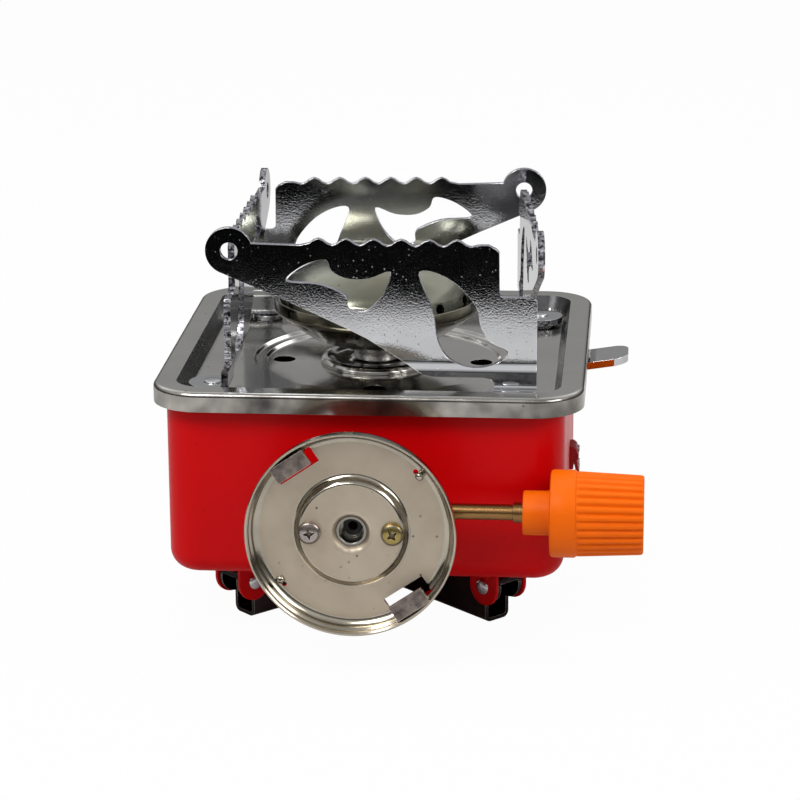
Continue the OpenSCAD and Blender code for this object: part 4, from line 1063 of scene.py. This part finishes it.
@dataclass(frozen=True)
class RivetSizes:
    """Sizes of the support rivets and their washers, in millimetres."""

    pivot_across: float = 35.3
    pivot_back: float = -40.0
    shank_r: float = 1.8
    low_head_r: float = 3.1
    low_head_h: float = 0.7
    high_head_r: float = 2.25
    high_head_h: float = 0.45
    washer_r: float = 4.2
    washer_rim_break: float = 0.15
    washer_bore_r: float = 1.85
    washer_bore_break: float = 0.1

    def washer(self, thick: float) -> list[tuple[float, float]]:
        """Works out the section of a washer, closed on itself.

        Args:
            thick: its thickness.

        Returns:
            Radius and height of each point.
        """
        bore, inner = self.washer_bore_r, self.washer_bore_break
        rim, outer = self.washer_r, self.washer_rim_break
        return [(bore, inner), (bore + inner, 0.0), (rim - outer, 0.0), (rim, outer), (rim, thick - outer),
                (rim - outer, thick), (bore + inner, thick), (bore, thick - inner), (bore, inner)]

    def rivet(self, top: float) -> list[tuple[float, float]]:
        """Works out the profile of a rivet from its lower head to its upper one.

        Args:
            top: its whole height.

        Returns:
            Radius and height of each point.
        """
        low, high, under = self.low_head_r, self.high_head_r, top - self.high_head_h
        return [(0.0, 0.0), (low - 0.9, 0.04), (low - 0.2, 0.25), (low, self.low_head_h - 0.1),
                (low - 0.1, self.low_head_h), (self.shank_r, self.low_head_h), (self.shank_r, under),
                (high - 0.05, under), (high, under + 0.1), (high - 0.08, top - 0.16),
                (high - 0.4, top - 0.04), (high - 1.1, top), (0.0, top)]


class Tray(SubAssembly):
    """The polished tray with the flange round the burner neck."""

    title = "tray"
    rivets = RivetSizes()
    rivet_steps = 48
    steep = 0.75
    slope_depth = 3.6 * MM

    def build(self) -> None:
        """Builds the tray's pieces."""
        tray = self.sheet("top_tray", TRAY_STEEL, 0.1)
        # The rim's outside takes a darker copy of the tray steel: painted reflection.
        self.dress_faces(tray, SKIRT_PAINTED_REFLECTION, self.on_skirt)
        # The inner slope under the rim takes a darker copy of the tray steel: painted shade.
        self.dress_faces(tray, SLOPE_PAINTED_SHADE, self.on_slope)
        self.sheet("neck_flange", TRAY_STEEL, 0.15)
        tree = turned_ring_tree(self.palette[RIVET_STEEL])
        s = self.rivets
        ring = {"Steps": self.rivet_steps, "Count": len(Side),
                "Radius": math.hypot(s.pivot_across, s.pivot_back) * MM,
                "Start": math.atan2(s.pivot_back, s.pivot_across)}
        for node, profile in (("support_washers", s.washer), ("support_rivets", s.rivet)):
            points = profile(extent(node).z / MM)
            self.turned(node, tree, points, ring, Matrix.Translation(spot(node, z=0.0)), RIVET_STEEL)

    def upright(self, face: bpy.types.MeshPolygon) -> float:
        """Tells which way a steep face of the tray looks.

        Args:
            face: the face.

        Returns:
            More than 0 away from the middle, less than 0 towards it, and 0 on a face that isn't steep.
        """
        if abs(face.normal.z) > self.steep:
            return 0.0
        return face.normal.dot((face.center - self.datum.tray).normalized())

    def on_skirt(self, face: bpy.types.MeshPolygon) -> bool:
        """Tells whether a face is on the outside of the tray's rim."""
        return self.upright(face) > 0.0

    def on_slope(self, face: bpy.types.MeshPolygon) -> bool:
        """Tells whether a face is on the inner slope below the rim."""
        return self.upright(face) < 0.0 and face.center.z > self.datum.tray.z - self.slope_depth


class PotSupports(SubAssembly):
    """The four saw-toothed pot supports."""

    title = "pot supports"
    edge_facing = 0.5
    upright = 0.3
    foot_top = 1.0 * MM

    def build(self) -> None:
        """Builds the four supports and roughens their sheared edges."""
        for side in Side:
            piece = self.sheet(f"pot_support_{side.value}", PLATE_CHROME, 0.18)
            # The left and right supports' cut edges take the finish with painted dark and bright reflections
            # over real striations.
            faces_back = side in (Side.FRONT, Side.REAR)
            self.dress_faces(piece, SHEARED_ACROSS if faces_back else SHEARED_ALONG_PAINTED_GLINTS,
                             lambda face, axis=int(faces_back): self.sheared(face, axis))

    def sheared(self, face: bpy.types.MeshPolygon, axis: int) -> bool:
        """Tells whether a face lies on the cut edge of the sheet.

        Args:
            face: the face.
            axis: 0 or 1, the axis that the sheet faces along.

        Returns:
            True on a cut edge.
        """
        if abs(face.normal[axis]) > self.edge_facing:
            return False
        return face.center.z > self.datum.tray.z + self.foot_top or abs(face.normal.z) < self.upright


@dataclass(frozen=True)
class CapSizes:
    """Sizes of the burner cap, in millimetres; heights are above the top of its edge."""

    thick: float = 0.8
    side_top: float = 3.3
    dome_r: float = 17.5
    dome_drop: float = 1.9
    steps: int = 128
    ports: int = 14
    port_r: float = 1.4
    port_lift: float = 0.1
    port_turn: float = math.radians(7)
    port_in: float = 2.0
    reach: float = 6.0

    def line(self, rim: float, dome: float, sunk: float) -> list[tuple[float, float]]:
        """Works out the cap's line from its middle to its edge.

        Args:
            rim: radius of its edge.
            dome: height of its middle.
            sunk: how far the line lies inside the outer face.

        Returns:
            Radius and height of each point.
        """
        shoulder = dome - self.dome_drop
        side = (self.dome_r + rim) / 2 + 0.4 - 0.55 * sunk, (shoulder + self.side_top) / 2 - 0.85 * sunk
        crown = eased([
            (0.0, dome - sunk), (self.dome_r - 6 - 0.1 * sunk, dome - 0.5 - sunk),
            (self.dome_r - 0.25 * sunk, shoulder - sunk), side,
            (rim - 1.7 - 0.9 * sunk, self.side_top - 0.3 * sunk)])
        edge = [(rim - 1.05 - sunk, 0.8 - 0.25 * sunk), (rim - 0.8 - 0.6 * sunk, 0.1 - 0.9 * sunk),
                (rim, -sunk)]
        return [*crown, *edge]

    def section(self, rim: float, height: float) -> list[tuple[float, float]]:
        """Works out the cap's closed section.

        Args:
            rim: radius of its edge.
            height: its whole height.

        Returns:
            Radius and height of each point.
        """
        dome = height - self.thick
        outer, inner = self.line(rim, dome, 0.0), self.line(rim, dome, self.thick)
        return [(radius, level + self.thick) for radius, level in [*outer, *reversed(inner)]]


class Burner(SubAssembly):
    """The dished burner, its ported cap and the tube under it."""

    title = "burner"
    cap = CapSizes()

    def build(self) -> None:
        """Builds the burner's pieces."""
        self.sheet("burner_bowl", BURNER_STEEL, 0.12)
        self.ported_cap()
        self.sheet("mixing_tube", TUBE_STEEL, 0.1)
        self.sheet("front_flange", TUBE_STEEL, 0.1)
        self.sheet("flange_screws", SCREW_STEEL, 0.1)
        self.keep("gas_jet", BRASS)

    def ported_cap(self) -> None:
        """Turns the cap and cuts its circle of flame ports."""
        s = self.cap
        size = extent("burner_cap")
        rim = size.x / 2 / MM
        ports = {"Steps": s.steps, "Count": s.ports, "Radius": (rim - s.port_in) * MM, "Start": s.port_turn,
                 "Port": s.port_r * MM, "Reach": s.reach * MM,
                 "Lift": (s.thick + s.port_r + s.port_lift) * MM}
        self.turned("burner_cap", ported_tree(self.palette[CAP_STEEL]), s.section(rim, size.z / MM), ports,
                    Matrix.Translation(spot("burner_cap", z=0.0)), CAP_STEEL)


@dataclass(frozen=True)
class ScrewSizes:
    """Sizes of a pan-head screw with a star recess, in millimetres."""

    shank_r: float = 1.35
    shank_break: float = 0.3
    head_h: float = 1.7
    steps: int = 64
    arms: int = 4
    outer_r: float = 2.4
    inner_r: float = 0.95
    round_r: float = 0.12
    sink: float = 0.9
    taper: float = 0.45
    lip: float = 0.2

    def profile(self, head: float, top: float) -> list[tuple[float, float]]:
        """Works out the screw's profile, from the top of its head down to the end of its shank.

        Args:
            head: radius of its head.
            top: length of the whole screw.

        Returns:
            Radius and height of each point.
        """
        seat = top - self.head_h
        return [(0.0, top), (head - 2.0, top), (head - 1.3, seat + 1.6), (head - 0.7, seat + 1.46),
                (head - 0.32, seat + 1.26), (head - 0.1, seat + 1.0), (head, seat + 0.7),
                (head, seat + 0.1), (head - 0.05, seat), (self.shank_r, seat),
                (self.shank_r, self.shank_break), (self.shank_r - self.shank_break, 0.0), (0.0, 0.0)]


def off_line(point: Vector, line: Vector) -> float:
    """Returns how far a point lies from a line along Y."""
    return math.hypot(point.x - line.x, point.z - line.z)


class GasLine(SubAssembly):
    """The cartridge disc, its socket and the valve behind it."""

    title = "gas line"
    screw = ScrewSizes()
    screws = (("disc_screw_left", SCREW_STEEL, math.radians(8)),
              ("disc_screw_right", SCREW_BRASS, math.radians(35)))
    tab_zone = (19.0 * MM, 24.25 * MM)
    tab_depth = 1.3 * MM
    flat = 0.985
    boss_r = 8.5 * MM

    def build(self) -> None:
        """Builds the disc and the valve."""
        disc = self.sheet("connector_disc", DISC_NICKEL, 0.12)
        self.dress_faces(disc, DISC_BRIGHT, self.on_bend)
        self.dress_faces(disc, DISC_TAB, self.on_tab)
        self.sheet("nozzle_socket", SOCKET_STEEL, 0.1)
        self.keep("socket_seal", BLACK_RUBBER)
        for node, finish, twist in self.screws:
            self.disc_screw(node, finish, twist)
        self.sheet("valve_body", BRASS, 0.2)
        self.sheet("gland_nut", BRASS, 0.2)
        self.sheet("valve_spindle", BRASS, 0.15)

    def on_bend(self, face: bpy.types.MeshPolygon) -> bool:
        """Tells whether a face of the disc is on its rolled lip or on its raised step."""
        return abs(face.normal.y) < self.flat and off_line(face.center, self.datum.gas) > self.boss_r

    def on_tab(self, face: bpy.types.MeshPolygon) -> bool:
        """Tells whether a face of the disc is on a bent tab."""
        low, high = self.tab_zone
        return (low < off_line(face.center, self.datum.gas) < high
                and face.center.y < self.datum.gas.y + self.tab_depth)

    def disc_screw(self, node: str, finish: Finish, twist: float) -> None:
        """Turns one screw of the disc and sinks the recess in its head.

        Args:
            node: the frame node that it stands for.
            finish: its finish.
            twist: how far its recess is turned, in radians.
        """
        s = self.screw
        size = extent(node)
        top = size.y / MM
        recess = {"Steps": s.steps, "Arms": s.arms, "Outer": s.outer_r * MM, "Inner": s.inner_r * MM,
                  "Round": s.round_r * MM, "Top": top * MM, "Sink": s.sink * MM, "Taper": s.taper,
                  "Twist": twist}
        points = s.profile(size.x / 2 / MM, top)
        end = spot(node, y=1.0)
        place = Matrix.Translation(end) @ Matrix.Rotation(math.pi / 2, 4, "X")
        piece = self.turned(node, recessed_tree(self.palette[finish]), points, recess, place, finish)
        face_y = spot(node, y=0.0).y
        # The recess walls take the darker finish: painted shade inside the recess.
        self.dress_faces(piece, RECESS_PAINTED_SHADE, lambda face: (
            face_y + s.lip * MM < face.center.y < face_y + s.head_h * MM
            and off_line(face.center, end) < s.outer_r * MM))


@dataclass(frozen=True)
class KnobSizes:
    """Sizes of the fluted knob, in metres; its length and width come from the frame."""

    hub_r: float = 5.5 * MM
    hub_len: float = 6.7 * MM
    ring_len: float = 6.4 * MM
    ring_gap: float = 0.35 * MM
    grip_end_r: float = 9.8 * MM
    grip_rows: int = 9
    bevel: float = 0.7 * MM
    dish_r: float = 7.2 * MM
    dish_depth: float = 0.6 * MM
    flutes: int = 30
    flute_steps: int = 10
    flute_depth: float = 0.62 * MM
    crest: float = 2.4
    bore_r: float = 2.0 * MM

    def profile(self, length: float, ring_r: float) -> list[tuple[float, float, float]]:
        """Works out the knob's profile from its hub to its end.

        Args:
            length: the knob's length.
            ring_r: radius of the smooth ring before its grip.

        Returns:
            The radius and height of each point, and how far the flutes cut there.
        """
        hub, end, grip = self.hub_r, self.grip_end_r, ring_r - self.ring_gap
        ring_at = self.hub_len
        grip_at = ring_at + self.ring_len
        grip_len = length - self.bevel - grip_at - 1.1 * MM
        base = [
            (self.bore_r, 0.0, 0.0), (hub - 0.5 * MM, 0.0, 0.0), (hub - 0.15 * MM, 0.12 * MM, 0.0),
            (hub, 0.5 * MM, 0.0), (hub, ring_at - 0.7 * MM, 0.0), (hub + 0.2 * MM, ring_at - 0.2 * MM, 0.0),
            (hub + 0.7 * MM, ring_at, 0.0), (ring_r - 0.8 * MM, ring_at, 0.0),
            (ring_r - 0.25 * MM, ring_at + 0.2 * MM, 0.0), (ring_r, ring_at + 0.8 * MM, 0.0),
            (ring_r, grip_at - 0.5 * MM, 0.0), (ring_r - 0.1 * MM, grip_at - 0.15 * MM, 0.0),
            (grip, grip_at + 0.05 * MM, 0.0), (grip - 0.02 * MM, grip_at + 0.35 * MM, 0.35)]
        parts = [row / (self.grip_rows - 1) for row in range(self.grip_rows)]
        fluted = [(grip + (end - grip) * part, grip_at + 0.8 * MM + part * grip_len, 1.0) for part in parts]
        cap = [
            (end - 0.12 * self.bevel, length - 0.6 * self.bevel, 0.95),
            (end - 0.4 * self.bevel, length - 0.2 * self.bevel, 0.7),
            (end - 1.1 * self.bevel, length, 0.3), (end - 1.8 * self.bevel, length, 0.0),
            (self.dish_r, length, 0.0), (self.dish_r - 0.5 * MM, length - self.dish_depth, 0.0),
            (0.0, length - self.dish_depth, 0.0)]
        return [*base, *fluted, *cap]


class Knob(SubAssembly):
    """The orange valve knob, turned from a profile with flutes along its grip."""

    title = "knob"
    sizes = KnobSizes()

    def build(self) -> None:
        """Turns the knob and sets it on its spindle."""
        s = self.sizes
        size = extent("knob")
        profile = s.profile(size.x, size.z / 2)
        mesh = profile_mesh("knob_profile", [point[:2] for point in profile], [point[2] for point in profile])
        knob = turned_tree(self.palette[ORANGE_PLASTIC]).run("knob_fluted", mesh, {
            "Rings": len(profile), "Steps": s.flutes * s.flute_steps, "Flutes": float(s.flutes),
            "Depth": s.flute_depth, "Crest": s.crest})
        place_mesh(knob, Matrix.Translation(spot("knob", x=0.0)) @ Matrix.Rotation(math.pi / 2, 4, "Y"))
        self.adopt(knob, "knob", ORANGE_PLASTIC)


@dataclass(frozen=True)
class PinSizes:
    """Sizes of the pins that the legs turn on, in millimetres."""

    pin_at: float = 46.6
    shank_r: float = 1.1
    half_len: float = 5.3
    head_r: float = 2.15
    head_h: float = 1.0
    steps: int = 40

    def profile(self) -> list[tuple[float, float]]:
        """Works out the profile of a pin, the same at both ends.

        Returns:
            Radius and height of each point.
        """
        head, seat, end = self.head_r, self.half_len, self.half_len + self.head_h
        half = [(self.shank_r, seat), (head - 0.06, seat), (head, seat + 0.08), (head - 0.05, seat + 0.3),
                (head - 0.3, seat + 0.58), (head - 0.75, seat + 0.82), (head - 1.4, end - 0.04), (0.0, end)]
        return [(radius, -height) for radius, height in reversed(half)] + half


class Legs(SubAssembly):
    """The four folding channel legs and their pins."""

    title = "legs"
    pins = PinSizes()

    def build(self) -> None:
        """Builds the legs and their pins."""
        for corner in Corner:
            self.sheet(f"leg_{corner.value}", LEG_STEEL, 0.15)
        s = self.pins
        ring = {"Steps": s.steps, "Count": len(Corner), "Radius": s.pin_at * MM, "Start": math.pi / 4,
                "Tilt": math.pi / 2}
        self.turned("leg_pins", turned_ring_tree(self.palette[RIVET_STEEL]), s.profile(), ring,
                    Matrix.Translation(spot("leg_pins")), RIVET_STEEL)


class Igniter(SubAssembly):
    """The finger lever, the igniter unit and the spark electrode."""

    title = "igniter"

    def build(self) -> None:
        """Builds the igniter's pieces."""
        self.sheet("igniter_lever", PLATE_CHROME, 0.2)
        self.sheet("lever_bracket", TUBE_STEEL, 0.1)
        self.keep("lever_pin", RIVET_STEEL)
        self.sheet("igniter_unit", WHITE_PLASTIC, 0.3)
        self.keep("igniter_plunger", BLACK_PLASTIC)
        self.keep("electrode", WIRE_STEEL)
        self.sheet("electrode_insulator", CERAMIC, 0.2)
        self.keep("ignition_lead", LEAD_SLEEVE)


# ---------------------------------------------------------------------------------------------
# Stage, lights and camera
# ---------------------------------------------------------------------------------------------


@dataclass(frozen=True)
class ViewPoint:
    """The camera's place relative to the middle of the tray rim, and its angles."""

    offset: Vector = field(default_factory=lambda: Vector((68.43, -762.93, 208.3)) * MM)
    yaw: float = math.radians(4.79)
    pitch: float = math.radians(16.38)
    roll: float = math.radians(-0.32)
    focal_px: float = 3021.36
    image_px: int = 800
    sensor: float = 36.0
    clip: tuple[float, float] = (0.01, 20.0)

    def make(self, datum: Datum) -> None:
        """Makes the scene's camera.

        Args:
            datum: holds the middle of the tray's rim, which the camera is placed from.
        """
        ahead = math.cos(self.pitch)
        forward = Vector((-math.sin(self.yaw) * ahead, math.cos(self.yaw) * ahead, -math.sin(self.pitch)))
        level = Vector((math.cos(self.yaw), math.sin(self.yaw), 0.0))
        above = level.cross(forward)
        right = level * math.cos(self.roll) + above * math.sin(self.roll)
        up = -level * math.sin(self.roll) + above * math.cos(self.roll)
        lens = bpy.data.cameras.new("camera")
        lens.sensor_width = self.sensor
        lens.lens = self.sensor * self.focal_px / self.image_px
        lens.clip_start, lens.clip_end = self.clip
        camera = bpy.data.objects.new("camera", lens)
        turn = Matrix((right, up, -forward)).transposed().to_4x4()
        camera.matrix_world = Matrix.Translation(datum.tray + self.offset) @ turn
        bpy.context.scene.collection.objects.link(camera)
        bpy.context.scene.camera = camera


@dataclass(frozen=True)
class Lamp:
    """One soft area lamp, in metres and watts, and whether metal mirrors it."""

    name: str
    place: Triple
    target: Triple
    size: tuple[float, float]
    power: float
    mirrored: bool = True

    def hang(self) -> None:
        """Hangs the lamp in the scene."""
        light = bpy.data.lights.new(self.name, "AREA")
        light.shape = "RECTANGLE"
        light.size, light.size_y = self.size
        light.energy = self.power
        holder = bpy.data.objects.new(self.name, light)
        aim = Vector(self.target) - Vector(self.place)
        turn = aim.to_track_quat("-Z", "Y").to_matrix().to_4x4()
        holder.matrix_world = Matrix.Translation(Vector(self.place)) @ turn
        holder.visible_glossy = self.mirrored
        bpy.context.scene.collection.objects.link(holder)


class Studio:
    """A pale floor, soft lamps and a surround that is dark low down and bright overhead."""

    lamps = (
        Lamp("key", (-0.35, -0.55, 0.75), (0.0, 0.0, 0.04), (0.5, 0.35), 5.6),
        Lamp("fill", (0.6, -0.45, 0.5), (0.0, 0.0, 0.05), (0.4, 0.4), 2.4),
        Lamp("top", (0.0, 0.15, 0.9), (0.0, 0.0, 0.05), (0.7, 0.5), 4.8, mirrored=False),
    )
    floor_span = ((-0.5, -0.34), (0.5, 1.4))
    floor_gap = 0.05 * MM
    floor_grey = 0.58
    floor_roughness = 0.85
    floor_white = 0.97
    white = (1.0, 1.0, 1.0, 1.0)
    world_light = 0.4
    # Height of each step of the surround, from straight down at 0 to straight up at 1, and its level.
    reflected = ((0.0, 0.002), (0.49, 0.004), (0.54, 0.08), (0.6, 0.3), (0.68, 0.42), (0.78, 0.95),
                 (0.88, 0.75), (1.0, 0.45))

    def build(self) -> None:
        """Builds the floor, the lamps and the world."""
        self.floor()
        for lamp in self.lamps:
            lamp.hang()
        self.world()
        bpy.context.scene.view_settings.view_transform = "Standard"

    def floor(self) -> None:
        """Lays the floor under the stove; its front edge shows in the polished plates."""
        (left, front), (right, back) = self.floor_span
        mesh = bpy.data.meshes.new("floor")
        corners = [(left, front, 0.0), (right, front, 0.0), (right, back, 0.0), (left, back, 0.0)]
        mesh.from_pydata(corners, [], [(0, 1, 2, 3)])
        floor = new_piece("floor", mesh)
        floor.location.z = -self.floor_gap
        material = bpy.data.materials.new("pale_floor")
        material.use_nodes = True
        tree = material.node_tree
        shader = tree.nodes["Principled BSDF"]
        shader.inputs["Base Color"].default_value = (self.floor_grey, self.floor_grey, self.floor_grey, 1.0)
        shader.inputs["Roughness"].default_value = self.floor_roughness
        seen = add_node(tree, "ShaderNodeLightPath").outputs["Is Camera Ray"]
        white = add_node(tree, "ShaderNodeEmission", {"Color": self.white, "Strength": 1.0})
        mixed = add_node(tree, "ShaderNodeMixShader", {1: shader.outputs[0], 2: white.outputs[0]})
        share = add_node(tree, "ShaderNodeMath", {0: seen, 1: self.floor_white}, operation="MULTIPLY")
        tree.links.new(share.outputs[0], mixed.inputs[0])
        tree.links.new(mixed.outputs[0], tree.nodes["Material Output"].inputs["Surface"])
        mesh.materials.append(material)

    def world(self) -> None:
        """Makes a surround that is white to the eye and runs from dark to bright in reflections."""
        world = bpy.data.worlds.new("surround")
        bpy.context.scene.world = world
        world.use_nodes = True
        tree = world.node_tree
        path = add_node(tree, "ShaderNodeLightPath")
        place = add_node(tree, "ShaderNodeTexCoord").outputs["Generated"]
        height = add_node(tree, "ShaderNodeSeparateXYZ", {0: place}).outputs["Z"]
        rise = add_node(tree, "ShaderNodeMath", {0: height, 1: 0.5, 2: 0.5}, operation="MULTIPLY_ADD")
        ramp = add_node(tree, "ShaderNodeValToRGB", {0: rise.outputs[0]})
        steps = ramp.color_ramp.elements
        while len(steps) < len(self.reflected):
            steps.new(1.0)
        for step, (position, level) in zip(steps, self.reflected):
            step.position = position
            step.color = (level, level, level, 1.0)
        lit = add_node(tree, "ShaderNodeMix", {
            0: path.outputs["Is Glossy Ray"], 2: self.world_light, 3: ramp.outputs[0]}, data_type="FLOAT")
        seen = add_node(tree, "ShaderNodeMath", {
            0: path.outputs["Is Camera Ray"], 1: path.outputs["Is Transmission Ray"]}, operation="MAXIMUM")
        strength = add_node(tree, "ShaderNodeMix", {
            0: seen.outputs[0], 2: lit.outputs[0], 3: 1.0}, data_type="FLOAT")
        background = tree.nodes["Background"].inputs
        tree.links.new(strength.outputs[0], background["Strength"])
        background["Color"].default_value = self.white


def main() -> None:
    """Builds the camera, the studio and every sub-assembly in order."""
    logging.basicConfig(level=logging.INFO, format="%(name)s: %(message)s")
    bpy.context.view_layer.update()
    datum = Datum.from_frame()
    ViewPoint().make(datum)
    Studio().build()
    palette = Palette()
    for kind in (Body, Tray, PotSupports, Burner, GasLine, Knob, Legs, Igniter):
        group = kind(palette, datum)
        group.build()
        for piece in group.pieces:
            LOG.info("%s: %s", group.title, piece)


if __name__ == "__main__":
    main()
